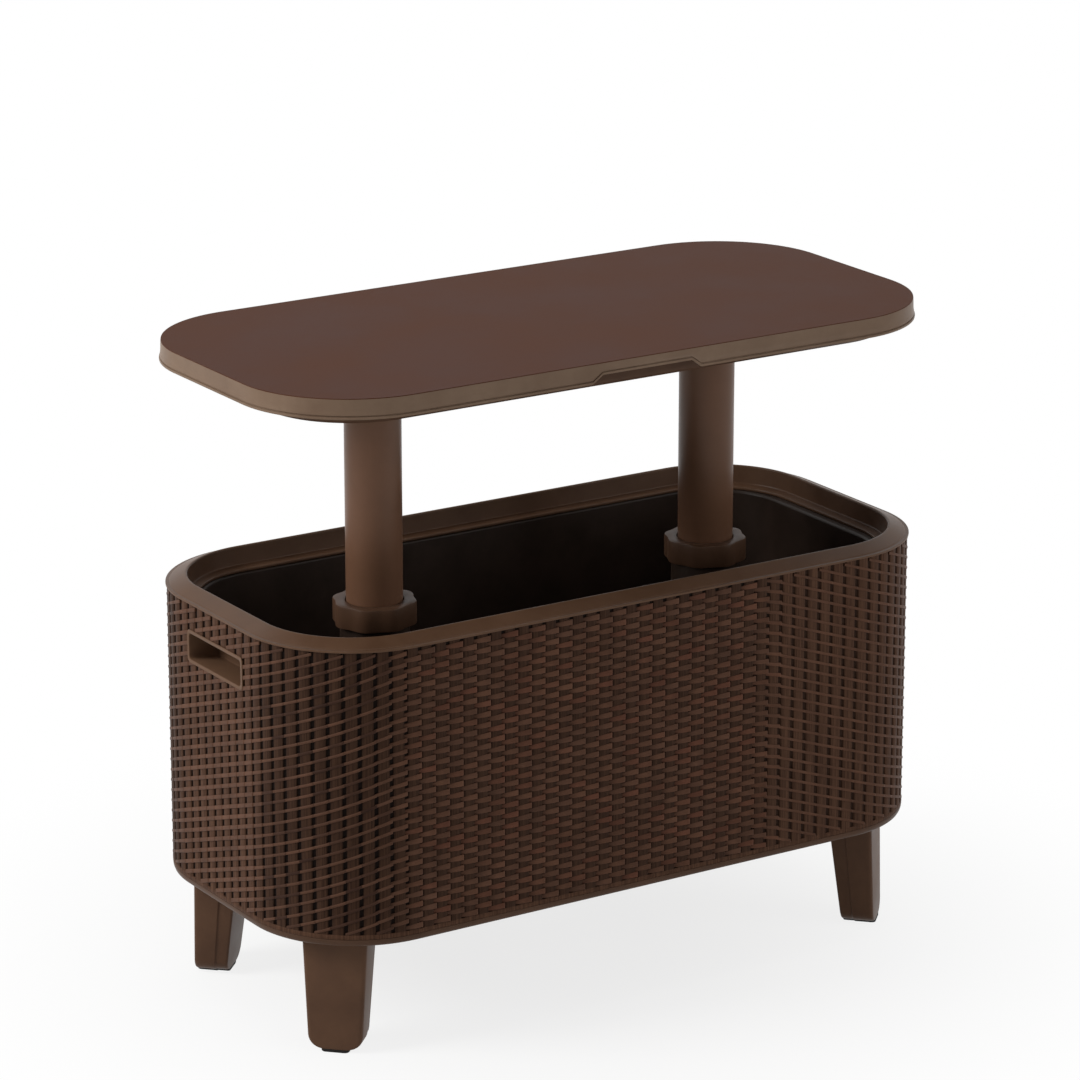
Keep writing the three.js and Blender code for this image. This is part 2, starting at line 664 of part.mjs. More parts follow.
// Post guides: closed-bottomed tubes through the liner's floor, each with its seal, bush and screws
function postGuide(x, screws) {
  const outer = GUIDE_BORE + GUIDE_WALL;
  const flangeTop = GUIDE_FLANGE_Z + GUIDE_FLANGE_HEIGHT;
  const profile = [
    [0, GUIDE_BOTTOM_Z],
    [outer, GUIDE_BOTTOM_Z],
    [outer, GUIDE_FLANGE_Z],
    [GUIDE_FLANGE, GUIDE_FLANGE_Z],
    [GUIDE_FLANGE, flangeTop],
    [outer, flangeTop],
    [outer, GUIDE_TOP_Z],
    [GUIDE_BORE, GUIDE_TOP_Z],
    [GUIDE_BORE, GUIDE_BOTTOM_Z + GUIDE_FLOOR],
    [0, GUIDE_BOTTOM_Z + GUIDE_FLOOR],
  ];
  return geometryOf(cut(solid(turned(profile, x)), screwHoles(screws)));
}
function screwHoles(screws) {
  const low = SEAL_Z - OVERRUN;
  const high = GUIDE_FLANGE_Z + GUIDE_FLANGE_HEIGHT + OVERRUN;
  return screws.map(({ x, y }) => rod(SCREW_SHANK + GAP, low, high, x, y, SCREW_STEPS));
}
function guideSeal(x, screws) {
  const ring = tube(GUIDE_BORE + GUIDE_WALL + GAP, GUIDE_FLANGE, SEAL_Z, SEAL_Z + SEAL_HEIGHT, x);
  return geometryOf(cut(solid(ring), screwHoles(screws)));
}
function guideBush(x) {
  const inner = POST_RADIUS + SLIDE_GAP;
  const outer = GUIDE_BORE - GAP;
  const flange = GUIDE_BORE + GUIDE_WALL - GAP;
  const top = BUSH_FLANGE_Z + BUSH_FLANGE_HEIGHT;
  const profile = [
    [outer, BUSH_BOTTOM_Z],
    [outer, BUSH_FLANGE_Z],
    [flange, BUSH_FLANGE_Z],
    [flange, top],
    [inner, top],
    [inner, BUSH_BOTTOM_Z],
    [outer, BUSH_BOTTOM_Z],
  ];
  return turned(profile, x);
}
// Lock collar: a lobed ring turned by hand, which draws the bush tight round the post
function lockCollar() {
  const outline = [];
  const steps = COLLAR_LOBES * 4;
  for (let step = 0; step < steps; step++) {
    const angle = (step / steps) * 2 * Math.PI;
    const radius = COLLAR_RADIUS + COLLAR_LOBE * Math.cos(COLLAR_LOBES * angle);
    outline.push(new THREE.Vector2(radius * Math.cos(angle), radius * Math.sin(angle)));
  }
  const grip = new THREE.ExtrudeGeometry(new THREE.Shape(outline), {
    depth: COLLAR_HEIGHT,
    bevelEnabled: false,
  });
  const bottom = COLLAR_TOP_Z - COLLAR_HEIGHT;
  const skirt = rod(GUIDE_BORE + GUIDE_WALL + TURN_GAP, bottom - OVERRUN, COLLAR_WEB_Z);
  const throat = rod(POST_RADIUS + TURN_GAP, bottom, COLLAR_TOP_Z + OVERRUN);
  return geometryOf(cut(solid(grip.translate(0, 0, bottom)), [skirt, throat]));
}
posts.forEach(({ side, x }, index) => {
  place(`post_guide_${side}`, postGuide(x, guideScrews[index]), linerBlack);
  place(`guide_seal_${side}`, guideSeal(x, guideScrews[index]), padBlack);
  place(`guide_bush_${side}`, guideBush(x), bushGrey);
  place(`lock_collar_${side}`, lockCollar(), smoothBrown).position.x = x;
  guideScrews[index].forEach((screw, number) => {
    const mesh = place(`guide_screw_${side}_${number + 1}`, screwGeometry(GUIDE_SCREW_LENGTH), steel);
    mesh.position.set(screw.x, screw.y, GUIDE_FLANGE_Z + GUIDE_FLANGE_HEIGHT + GAP);
  });
});

// Drain: a flanged pipe through the floor, its nut, and a plug pulled out from below
const DRAIN_OUTER = DRAIN_BORE + DRAIN_WALL;
const DRAIN_FLANGE_Z = SEAL_Z + SEAL_HEIGHT + GAP;
const DRAIN_END_Z = BASE_Z - DRAIN_TAIL;
const KNOB_TOP_Z = DRAIN_END_Z - GAP - SEAL_HEIGHT - GAP;
const pipeProfile = [
  [DRAIN_OUTER, DRAIN_END_Z],
  [DRAIN_OUTER, DRAIN_FLANGE_Z],
  [DRAIN_FLANGE, DRAIN_FLANGE_Z],
  [DRAIN_OUTER, DRAIN_FLANGE_Z + DRAIN_FLANGE_HEIGHT],
  [DRAIN_BORE, DRAIN_FLANGE_Z + DRAIN_FLANGE_HEIGHT],
  [DRAIN_BORE, DRAIN_END_Z],
  [DRAIN_OUTER, DRAIN_END_Z],
];
place("drain_pipe", turned(pipeProfile), linerBlack);
place("drain_seal", tube(DRAIN_OUTER + GAP, DRAIN_FLANGE - GAP, SEAL_Z, SEAL_Z + SEAL_HEIGHT), padBlack);
function drainNut() {
  const hexagon = rod(NUT_RADIUS, BASE_Z - GAP - NUT_HEIGHT, BASE_Z - GAP, 0, 0, 6);
  const bore = rod(DRAIN_OUTER + GAP, BASE_Z - GAP - NUT_HEIGHT - OVERRUN, BASE_Z + OVERRUN);
  return geometryOf(cut(solid(hexagon), [bore]));
}
place("drain_nut", drainNut(), smoothBrown);
const plugProfile = [
  [0, KNOB_TOP_Z - KNOB_HEIGHT],
  [KNOB_RADIUS - DRAIN_WALL, KNOB_TOP_Z - KNOB_HEIGHT],
  [KNOB_RADIUS, KNOB_TOP_Z - KNOB_HEIGHT + DRAIN_WALL],
  [KNOB_RADIUS, KNOB_TOP_Z],
  [DRAIN_BORE - SLIDE_GAP, KNOB_TOP_Z],
  [DRAIN_BORE - SLIDE_GAP, KNOB_TOP_Z + KNOB_STEM],
  [0, KNOB_TOP_Z + KNOB_STEM],
];
place("drain_plug", turned(plugProfile), smoothBrown);
const plugSeal = tube(
  DRAIN_BORE - SLIDE_GAP + GAP,
  DRAIN_OUTER,
  KNOB_TOP_Z + GAP,
  KNOB_TOP_Z + GAP + SEAL_HEIGHT,
);
place("drain_plug_seal", plugSeal, padBlack);

// Lid top: table plate and skirt in one, with a finger notch in the front and bosses underneath
function lidTop() {
  const flareZ = SKIRT_Z + LID_FLARE_HEIGHT;
  const top = LID_TAPER - LID_OVERHANG;
  const waist = top - LID_TAPER / 4;
  const outside = block([
    [-LID_OVERHANG, SKIRT_Z],
    [waist, flareZ],
    [top, LID_TOP_Z - LID_EDGE],
    [top + LID_EDGE, LID_TOP_Z],
  ]);
  const inside = block([
    [LID_WALL - LID_OVERHANG, SKIRT_Z - OVERRUN],
    [LID_WALL - LID_OVERHANG, SKIRT_Z],
    [waist + LID_WALL, flareZ],
    [top + LID_EDGE + LID_WALL, LID_UNDER_Z],
  ]);
  const bosses = lidScrews.map(({ x, y }) =>
    rod(LID_BOSS, PLUG_FLOOR_Z + GAP, LID_TOP_Z - LID_TOP / 2, x, y, SCREW_STEPS),
  );
  const holes = lidScrews.map(({ x, y }) =>
    rod(SCREW_SHANK + GAP, PLUG_FLOOR_Z, PLUG_FLOOR_Z + LID_SCREW_LENGTH, x, y, SCREW_STEPS),
  );
  const shell = cut(solid(outside), [inside, notchCut()]);
  return geometryOf(cut(join(shell, bosses), holes));
}
function notchCut() {
  const slope = (NOTCH_WIDTH - NOTCH_TOP_WIDTH) / 2 / NOTCH_HEIGHT;
  const shape = new THREE.Shape([
    new THREE.Vector2(-NOTCH_WIDTH / 2 - OVERRUN * slope, -OVERRUN),
    new THREE.Vector2(NOTCH_WIDTH / 2 + OVERRUN * slope, -OVERRUN),
    new THREE.Vector2(NOTCH_TOP_WIDTH / 2, NOTCH_HEIGHT),
    new THREE.Vector2(-NOTCH_TOP_WIDTH / 2, NOTCH_HEIGHT),
  ]);
  const depth = LID_WALL + LID_TAPER + 2 * OVERRUN;
  const block = new THREE.ExtrudeGeometry(shape, { depth, bevelEnabled: false });
  return block.rotateX(Math.PI / 2).translate(0, -TUB_WIDTH / 2 - OVERRUN + depth, SKIRT_Z);
}
place("lid_top", lidTop(), topBrown);

// Under-panel: a plug that drops into the tub's mouth, a flange inside the skirt and two sockets
const SKIRT_INNER = LID_TAPER - LID_OVERHANG + LID_EDGE + LID_WALL;
const SOCKET_BORE = POST_RADIUS + SLIDE_GAP;
const postScrews = posts.map(({ x }) =>
  [-1, 1].map((sign) => ({ x: x + sign * POST_SCREW_CIRCLE, y: 0 })),
);
function underPanel() {
  const outside = block([
    [PLUG_INSET + PLUG_ROUND, PLUG_Z],
    [PLUG_INSET, PLUG_Z + PLUG_ROUND],
    [PLUG_INSET, FLANGE_Z],
    [SKIRT_INNER + SLIDE_GAP, FLANGE_Z],
    [SKIRT_INNER + SLIDE_GAP, FLANGE_Z + FLANGE_HEIGHT],
  ]);
  const inside = block([
    [PLUG_INSET + PLUG_WALL + PLUG_ROUND, PLUG_FLOOR_Z],
    [PLUG_INSET + PLUG_WALL, PLUG_FLOOR_Z + PLUG_ROUND],
    [PLUG_INSET + PLUG_WALL, FLANGE_Z + FLANGE_HEIGHT + OVERRUN],
  ]);
  const sockets = posts.map(({ x }) =>
    rod(SOCKET_BORE + SOCKET_WALL, PLUG_Z + PLUG_WALL / 2, SOCKET_Z + SOCKET_WALL, x),
  );
  const holes = [
    ...posts.map(({ x }) => rod(SOCKET_BORE, PLUG_Z - OVERRUN, SOCKET_Z, x)),
    ...postScrews.flat().map(({ x, y }) => {
      return rod(SCREW_SHANK + GAP, PLUG_Z, SOCKET_Z + SOCKET_WALL + OVERRUN, x, y, SCREW_STEPS);
    }),
    ...lidScrews.map(({ x, y }) => {
      return rod(SCREW_SHANK + GAP, PLUG_Z - OVERRUN, PLUG_FLOOR_Z + OVERRUN, x, y, SCREW_STEPS);
    }),
  ];
  return geometryOf(cut(join(cut(solid(outside), [inside]), sockets), holes));
}
place("lid_under_panel", underPanel(), smoothBrown);

function lidFoam() {
  const inset = PLUG_INSET + PLUG_WALL + GAP;
  const slab = block([
    [inset + PLUG_ROUND, PLUG_FLOOR_Z + GAP],
    [inset, PLUG_FLOOR_Z + PLUG_ROUND + GAP],
    [inset, LID_UNDER_Z - GAP],
  ]);
  const low = PLUG_FLOOR_Z - OVERRUN;
  const high = LID_UNDER_Z + OVERRUN;
  const holes = [
    ...posts.map(({ x }) => rod(SOCKET_BORE + SOCKET_WALL + FOAM_GAP, low, high, x)),
    ...lidScrews.map(({ x, y }) => rod(LID_BOSS + FOAM_GAP, low, high, x, y, SCREW_STEPS)),
  ];
  return geometryOf(cut(solid(slab), holes));
}
place("lid_insulation", lidFoam(), foamWhite);

const GASKET_INSET = (RIM_BAND + RIM_INNER - GASKET_WIDTH) / 2;
const gasketProfile = [
  [GASKET_INSET, GASKET_Z],
  [GASKET_INSET, GASKET_Z + GASKET_HEIGHT],
  [GASKET_INSET + GASKET_WIDTH, GASKET_Z + GASKET_HEIGHT],
  [GASKET_INSET + GASKET_WIDTH, GASKET_Z],
];
place("lid_gasket", band(gasketProfile), padBlack);

lidScrews.forEach(({ x, y }, index) => {
  const mesh = place(`lid_screw_${index + 1}`, screwGeometry(LID_SCREW_LENGTH), steel);
  mesh.rotation.x = Math.PI;
  mesh.position.set(x, y, PLUG_Z - GAP);
});

// Posts: tubes closed at the top by a web that the screws bite into, with a stop cap on the foot
function post(x, screws) {
  const inner = POST_RADIUS - POST_WALL;
  const profile = [
    [POST_RADIUS, POST_BOTTOM_Z],
    [POST_RADIUS, POST_TOP_Z],
    [0, POST_TOP_Z],
    [0, POST_TOP_Z - POST_WEB],
    [inner, POST_TOP_Z - POST_WEB],
    [inner, POST_BOTTOM_Z],
    [POST_RADIUS, POST_BOTTOM_Z],
  ];
  const low = SOCKET_Z + SOCKET_WALL + GAP - POST_SCREW_LENGTH - GAP;
  const holes = screws.map((screw) => {
    return rod(SCREW_SHANK + GAP, low, POST_TOP_Z + OVERRUN, screw.x, screw.y, SCREW_STEPS);
  });
  return geometryOf(cut(solid(turned(profile, x)), holes));
}
function postFoot(x) {
  const outer = GUIDE_BORE - SLIDE_GAP;
  const inner = POST_RADIUS + GAP;
  const top = FOOT_Z + FOOT_HEIGHT;
  const profile = [
    [0, FOOT_Z],
    [outer, FOOT_Z],
    [outer, top],
    [inner, top],
    [inner, FOOT_Z + FOOT_FLOOR],
    [0, FOOT_Z + FOOT_FLOOR],
  ];
  return turned(profile, x);
}
posts.forEach(({ side, x }, index) => {
  place(`post_${side}`, post(x, postScrews[index]), smoothBrown);
  place(`post_foot_${side}`, postFoot(x), linerBlack);
  postScrews[index].forEach((screw, number) => {
    const mesh = place(`post_screw_${side}_${number + 1}`, screwGeometry(POST_SCREW_LENGTH), steel);
    mesh.position.set(screw.x, screw.y, SOCKET_Z + SOCKET_WALL + GAP);
  });
});

export default part;
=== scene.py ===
import bpy
import mathutils
import numpy as np
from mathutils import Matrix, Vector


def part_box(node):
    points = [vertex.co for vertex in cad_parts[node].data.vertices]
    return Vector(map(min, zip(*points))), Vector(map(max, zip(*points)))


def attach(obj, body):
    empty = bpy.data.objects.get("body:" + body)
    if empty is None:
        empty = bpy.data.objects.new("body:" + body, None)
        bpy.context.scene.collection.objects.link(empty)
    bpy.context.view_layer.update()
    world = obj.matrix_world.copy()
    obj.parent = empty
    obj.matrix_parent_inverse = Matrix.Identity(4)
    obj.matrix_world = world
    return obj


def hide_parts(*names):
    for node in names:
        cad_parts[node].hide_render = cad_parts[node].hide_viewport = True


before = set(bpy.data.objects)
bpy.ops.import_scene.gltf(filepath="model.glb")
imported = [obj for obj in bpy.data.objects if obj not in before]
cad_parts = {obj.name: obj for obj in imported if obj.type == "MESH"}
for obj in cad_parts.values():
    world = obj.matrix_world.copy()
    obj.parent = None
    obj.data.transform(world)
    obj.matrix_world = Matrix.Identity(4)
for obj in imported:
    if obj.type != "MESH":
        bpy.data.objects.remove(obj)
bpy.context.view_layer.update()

# View, light and floor
# The photograph's view: a long lens from the front left, looking a little down. The light is a plain
# soft studio: a large panel over the left end, weaker ones to the right and above, on a pale floor.
VIEW_FROM = (-2.6840, -4.1836, 2.0017)
VIEW_AIM = (-0.0036, 0.0011, 0.4750)
VIEW_LENS = 157.15
LAMP_AIM = (0.0, 0.0, 0.4)
WHITE = (1.0, 1.0, 1.0, 1.0)
WORLD_LIGHT = 0.24
FLOOR_REACH = 20.0


def linear(colour):
    """sRGB hex to linear: c / 12.92 up to 0.04045, else ((c + 0.055) / 1.055) ** 2.4."""
    channels = np.array([int(colour[at:at + 2], 16) for at in (1, 3, 5)]) / 255
    curved = ((channels + 0.055) / 1.055) ** 2.4
    return (*np.where(channels <= 0.04045, channels / 12.92, curved).tolist(), 1.0)


def aimed(obj, place, aim):
    """Stand obj at place and point its -Z at aim."""
    turn = (mathutils.Vector(aim) - mathutils.Vector(place)).to_track_quat("-Z", "Y")
    obj.location = place
    obj.rotation_euler = turn.to_euler()
    bpy.context.scene.collection.objects.link(obj)


def fill(tree, node, **inputs):
    """Set or link a node's sockets, given by name (_ for a space) or as i and their number."""
    for name, value in inputs.items():
        socket = node.inputs[int(name[1:]) if name[1:].isdigit() else name.replace("_", " ")]
        if isinstance(value, bpy.types.NodeSocket):
            tree.links.new(value, socket)
        else:
            socket.default_value = value
    return node


def add(tree, kind, settings=None, **inputs):
    """Add a node: settings are its properties, and its sockets are filled as in fill."""
    node = tree.nodes.new(kind)
    for name, value in (settings or {}).items():
        setattr(node, name, value)
    return fill(tree, node, **inputs)


def seen_by_camera(tree):
    """1 on the rays that show a surface to the camera, straight, by reflection or through a clear piece,
    else 0: the largest of three marks."""
    rays = add(tree, "ShaderNodeLightPath").outputs
    seen = rays["Is Camera Ray"]
    for mark in ("Is Glossy Ray", "Is Transmission Ray"):
        seen = add(tree, "ShaderNodeMath", {"operation": "MAXIMUM"}, i0=seen, i1=rays[mark]).outputs[0]
    return seen


scene = bpy.context.scene
scene.view_settings.view_transform = "Standard"
camera = bpy.data.objects.new("view", bpy.data.cameras.new("view"))
camera.data.lens = VIEW_LENS
camera.data.sensor_width = 36
camera.data.clip_end = 60
aimed(camera, VIEW_FROM, VIEW_AIM)
scene.camera = camera

# each panel's name, place in metres, side in metres, and watts
for name, place, side, watts in (
    ("key_panel", (-3.7, 1.0, 2.7), 1.8, 124),
    ("front_panel", (0.6, -4.3, 2.2), 2.2, 6),
    ("right_panel", (2.8, -3.1, 1.7), 2.2, 32),
    ("top_panel", (0.0, 0.6, 3.6), 3.0, 24),
):
    lamp = bpy.data.lights.new(name, "AREA")
    lamp.shape = "SQUARE"
    lamp.size = side
    lamp.energy = watts
    aimed(bpy.data.objects.new(name, lamp), place, LAMP_AIM)

world = bpy.data.worlds.new("studio")
world.use_nodes = True
tree = world.node_tree
tree.nodes.clear()
soft = add(tree, "ShaderNodeBackground", Color=WHITE, Strength=WORLD_LIGHT)
bright = add(tree, "ShaderNodeBackground", Color=WHITE, Strength=1.0)
mixed = add(tree, "ShaderNodeMixShader", i0=seen_by_camera(tree), i1=soft.outputs[0], i2=bright.outputs[0])
add(tree, "ShaderNodeOutputWorld", Surface=mixed.outputs[0])
scene.world = world

# Matt floor paint, nearly white. Near the object it is lifted towards white, so that little more than
# the shadow shows, and it fades to plain white between two distances in metres
FLOOR_LIFT, FADE_FROM, FADE_TO = 0.78, 0.1, 0.85
floor_paint = bpy.data.materials.new("pale_floor_paint")
floor_paint.use_nodes = True
tree = floor_paint.node_tree
reach = add(tree, "ShaderNodeVectorMath", {"operation": "LENGTH"},
            i0=add(tree, "ShaderNodeTexCoord").outputs["Object"])
far = add(tree, "ShaderNodeMapRange", {"interpolation_type": "SMOOTHSTEP"}, Value=reach.outputs["Value"],
          From_Min=FADE_FROM, From_Max=FADE_TO, To_Min=FLOOR_LIFT)
white = add(tree, "ShaderNodeMath", {"operation": "MULTIPLY"}, i0=far.outputs["Result"],
            i1=seen_by_camera(tree))
glow = add(tree, "ShaderNodeEmission", Color=WHITE, Strength=1.0)
paint = fill(tree, tree.nodes["Principled BSDF"], Base_Color=linear("#f4f4f2"), Roughness=0.9)
mixed = add(tree, "ShaderNodeMixShader", i0=white.outputs[0], i1=paint.outputs[0], i2=glow.outputs[0])
fill(tree, tree.nodes["Material Output"], Surface=mixed.outputs[0])
floor_mesh = bpy.data.meshes.new("floor")
floor_corners = [(x * FLOOR_REACH, y * FLOOR_REACH, 0) for x, y in ((-1, -1), (1, -1), (1, 1), (-1, 1))]
floor_mesh.from_pydata(floor_corners, [], [(0, 1, 2, 3)])
floor_mesh.materials.append(floor_paint)
floor = bpy.data.objects.new("floor", floor_mesh)
scene.collection.objects.link(floor)

# Base pan
# A shallow polypropylene tray, injection moulded in brown. It carries everything else: the legs are
# bolted up to its floor, and its rounded lip shows as a smooth band under the weave.
MM = 0.001
TUB_LENGTH, TUB_WIDTH, TUB_CORNER = 830.0, 407.0, 129.0
CORNER_SIGNS = np.array([(1, 1), (-1, 1), (-1, -1), (1, -1)])
CORNER_STEPS = 26
PAN_Z, PAN_FLOOR_Z, LIP_Z, UPSTAND_Z = 130.0, 134.0, 139.0, 152.0
LIP_INSET = 1.3
# the pan's upstand and the rim's spigot stand inside the shell's wall, between these insets
SEAT_OUTER, SEAT_INNER = 5.2, 8.3
PLASTIC_IOR = 1.49


def outline(inset, height, end_extra):
    """The tub's plan, drawn in by inset and at its ends by end_extra more: at each corner the arc
    centre + radius * (cos a, sin a), a over a quarter turn, joined by straight sides."""
    radius = TUB_CORNER - inset - end_extra
    half = np.array([TUB_LENGTH / 2 - inset - end_extra, TUB_WIDTH / 2 - inset])
    angle = np.arange(4)[:, None] * np.pi / 2 + np.linspace(0, np.pi / 2, CORNER_STEPS + 1)
    centre = (half - radius) * CORNER_SIGNS
    flat = centre[:, None] + radius * np.stack([np.cos(angle), np.sin(angle)], -1)
    flat = flat.reshape(-1, 2)
    return np.column_stack([flat, np.full(len(flat), height)])


def eased(profile, size, steps=3, loop=False):
    """Round a profile's corners: corner P becomes (1-t)^2 A + 2t(1-t) P + t^2 B, where A and B lie
    size from P on its two sides, or 0.45 of a side where that is shorter."""
    points = np.array([tuple(point) + (0.0,) * (3 - len(point)) for point in profile], float)
    size = np.broadcast_to(np.asarray(size, float), len(points))[:, None]
    ends = []
    for shift in (1, -1):
        gap = np.roll(points, shift, 0) - points
        length = np.maximum(np.linalg.norm(gap[:, :2], axis=1, keepdims=True), 1e-9)
        ends.append(points + gap * np.minimum(size, 0.45 * length) / length)
    t = np.linspace(0, 1, steps + 1)[None, :, None]
    curve = (1 - t) ** 2 * ends[0][:, None] + 2 * t * (1 - t) * points[:, None] + t ** 2 * ends[1][:, None]
    if not loop:
        curve[0], curve[-1] = points[0], points[-1]
    flat = curve.reshape(-1, 3)
    return flat[np.r_[True, np.linalg.norm(np.diff(flat, axis=0), axis=1) > 1e-5]]


def carried(profile):
    """Carry a profile of (inset, height, end_extra) round the tub: one outline for each of its points."""
    return np.stack([outline(inset, height, extra) for inset, height, extra in profile])


def skin(sections, loop=False):
    """Faces over sections of equal count: (i, j), (i, j+1), (i+1, j+1), (i+1, j), each section closed
    on itself, and either the last joined to the first or a flat face on both ends."""
    index = np.arange(sections.shape[0] * sections.shape[1]).reshape(sections.shape[:2])
    rows = np.vstack([index, index[:1]]) if loop else index
    beside = np.roll(rows, -1, 1)
    quads = np.stack([rows[:-1], beside[:-1], beside[1:], rows[1:]], -1).reshape(-1, 4).tolist()
    ends = [] if loop else [index[0, ::-1].tolist(), index[-1].tolist()]
    return sections.reshape(-1, 3), quads + ends


def piece(name, surface, material, body, slot, *nodes, sharp=32):
    """A mesh object from points in millimetres and faces, smooth but for edges sharper than sharp
    degrees, that rides on a body and stands for the named nodes."""
    mesh = bpy.data.meshes.new(name)
    mesh.from_pydata((surface[0] * MM).tolist(), [], surface[1])
    mesh.materials.append(material)
    mesh.shade_smooth()
    mesh.set_sharp_from_angle(angle=np.radians(sharp))
    obj = bpy.data.objects.new(name, mesh)
    scene.collection.objects.link(obj)
    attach(obj, body)
    if nodes:
        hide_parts(*nodes)
    return obj


def new_material(name):
    """A material with its node tree, and the Object coordinates that its patterns lie on."""
    material = bpy.data.materials.new(name)
    material.use_nodes = True
    tree = material.node_tree
    return material, tree, add(tree, "ShaderNodeTexCoord").outputs["Object"]


def moulded(name, shades, roughness, gloss=0.25, grain=1.1, relief=0.05, cloud=60.0):
    """Moulded plastic: tone drifts between shades over clouds of the given size in mm, the roughness
    drifts with it, and the tool's fine grain, of the given size and depth in mm, is in the bump. The
    gloss is low, because the grain breaks up most of what the surface would mirror."""
    material, tree, place = new_material(name)
    drift = add(tree, "ShaderNodeTexNoise", Vector=place, Scale=1 / (cloud * MM), Detail=5.0, Roughness=0.62)
    tone = add(tree, "ShaderNodeValToRGB", Fac=drift.outputs["Fac"])
    for element, position, shade in zip(tone.color_ramp.elements, (0.32, 0.68), shades):
        element.position = position
        element.color = linear(shade)
    rough = add(tree, "ShaderNodeMapRange", Value=drift.outputs["Fac"], From_Min=0.3, From_Max=0.7,
                To_Min=roughness - 0.05, To_Max=roughness + 0.06)
    tooth = add(tree, "ShaderNodeTexNoise", Vector=place, Scale=1 / (grain * MM), Detail=3.0, Roughness=0.55)
    bump = add(tree, "ShaderNodeBump", Strength=0.6, Distance=relief * MM, Height=tooth.outputs["Fac"])
    fill(tree, tree.nodes["Principled BSDF"], Base_Color=tone.outputs["Color"], IOR=PLASTIC_IOR,
         Specular_IOR_Level=gloss, Roughness=rough.outputs["Result"], Normal=bump.outputs["Normal"])
    return material


# Polypropylene, textured in the tool: a soft satin with a fine grain that only shows at its edges
smooth_brown = moulded("moulded_polypropylene_brown", ("#4b3527", "#563e2f"), 0.42, gloss=0.12)
# (inset, height), from the underside over the rounded lip and the upstand down to the tray's floor
pan_profile = eased(
    [(8.5, PAN_Z), (3.0, PAN_Z + 1.6), (LIP_INSET, PAN_Z + 6), (LIP_INSET, LIP_Z), (SEAT_OUTER, LIP_Z),
     (SEAT_OUTER, UPSTAND_Z), (SEAT_INNER, UPSTAND_Z), (SEAT_INNER, PAN_FLOOR_Z)],
    [0, 3, 3, 0.6, 0, 0.5, 0.5, 0],
)
piece("base_pan_moulding", skin(carried(pan_profile)), smooth_brown, "tub", "smooth_brown", "base_pan")

# Legs and pads
# Four tapered hollow legs, moulded of the pan's plastic and bolted under its corners. Each has soft
# edges, a rounded toe and a shallow step down its flanks, and stands on a black rubber pad.
CORNER_NAMES = ("rear_right", "rear_left", "front_left", "front_right")
LEG_CENTRE = np.array([TUB_LENGTH / 2 - TUB_CORNER, TUB_WIDTH / 2 - TUB_CORNER])
LEG_TOP, LEG_FOOT = 129.7, 3.3
# width, and the inner and outer face's distance from the corner's centre, on the floor and under the pan
LEG_WIDTH, LEG_INNER, LEG_OUTER = (59.0, 72.0), (67.0, 50.0), (104.0, 100.0)
TOE_ROUND = 14.0
# the flanks' full width takes this share of the depth, and the rest stands back by the step
FLANK_SHARE, FLANK_STEP = 0.62, 1.4
# the pad's heights, and how much further in than the toe it is drawn at each
PAD_PROFILE = ((0, 1.0), (0.5, 0.2), (3.0, 0.0))


def leg_section(height, drawn_in):
    """A leg's section at a height, in its own plan with X outwards: a rectangle between the inner and
    outer faces, which run straight from floor to pan, its corners rounded as in eased, its flanks
    stepped in towards the inner face, and its half width drawn in at the toe."""
    share = height / PAN_Z
    width, inner, outer = (low + (high - low) * share for low, high in (LEG_WIDTH, LEG_INNER, LEG_OUTER))
    half = width / 2 - drawn_in
    step = outer - FLANK_SHARE * (outer - inner)
    corners = [(outer, half), (step, half), (step - 1.0, half - FLANK_STEP), (inner, half - FLANK_STEP),
               (inner, FLANK_STEP - half), (step - 1.0, FLANK_STEP - half), (step, -half), (outer, -half)]
    ring = eased(corners, [5, 0.4, 0.4, 3, 3, 0.4, 0.4, 5], steps=5, loop=True)
    return np.column_stack([ring[:, :2], np.full(len(ring), height)])


def turned_out(points, corner):
    """Turn a leg's plan from +X to a corner's diagonal and set it on the corner's centre."""
    angle = np.arctan2(corner[1], corner[0])
    turn = np.array([(np.cos(angle), -np.sin(angle)), (np.sin(angle), np.cos(angle))])
    flat = points[..., :2] @ turn.T + LEG_CENTRE * corner
    return np.concatenate([flat, points[..., 2:]], -1)


# The pan's polypropylene with the same fine grain, painted a shade lighter than the pan as painted light
leg_brown_painted_light = moulded("moulded_polypropylene_leg_painted_light", ("#523a2b", "#5e4433"), 0.42, gloss=0.12)
# Rubber: dull and even, with a coarse moulded tooth
rubber = moulded("moulded_rubber_black", ("#12100f", "#1c1917"), 0.78, grain=1.6, relief=0.12)
# a leg's rings lie close round the toe, and then at two heights on the straight part and at the top
toe_angle = np.linspace(0, np.pi / 2, 8)
leg_heights = np.r_[LEG_FOOT + TOE_ROUND * (1 - np.cos(toe_angle)), 60, 100, LEG_TOP]
leg_draws = np.r_[TOE_ROUND * (1 - np.sin(toe_angle)), 0, 0, 0]
leg_rings = np.stack([leg_section(height, draw) for height, draw in zip(leg_heights, leg_draws)])
pad_rings = np.stack([leg_section(height, TOE_ROUND + draw) for height, draw in PAD_PROFILE])
for corner, where in zip(CORNER_SIGNS, CORNER_NAMES):
    piece(f"leg_moulding_{where}", skin(turned_out(leg_rings, corner)), leg_brown_painted_light, "tub",
          "smooth_brown", f"leg_{where}")
    piece(f"foot_pad_rubber_{where}", skin(turned_out(pad_rings, corner)), rubber, "tub",
          "rubber", f"foot_pad_{where}")

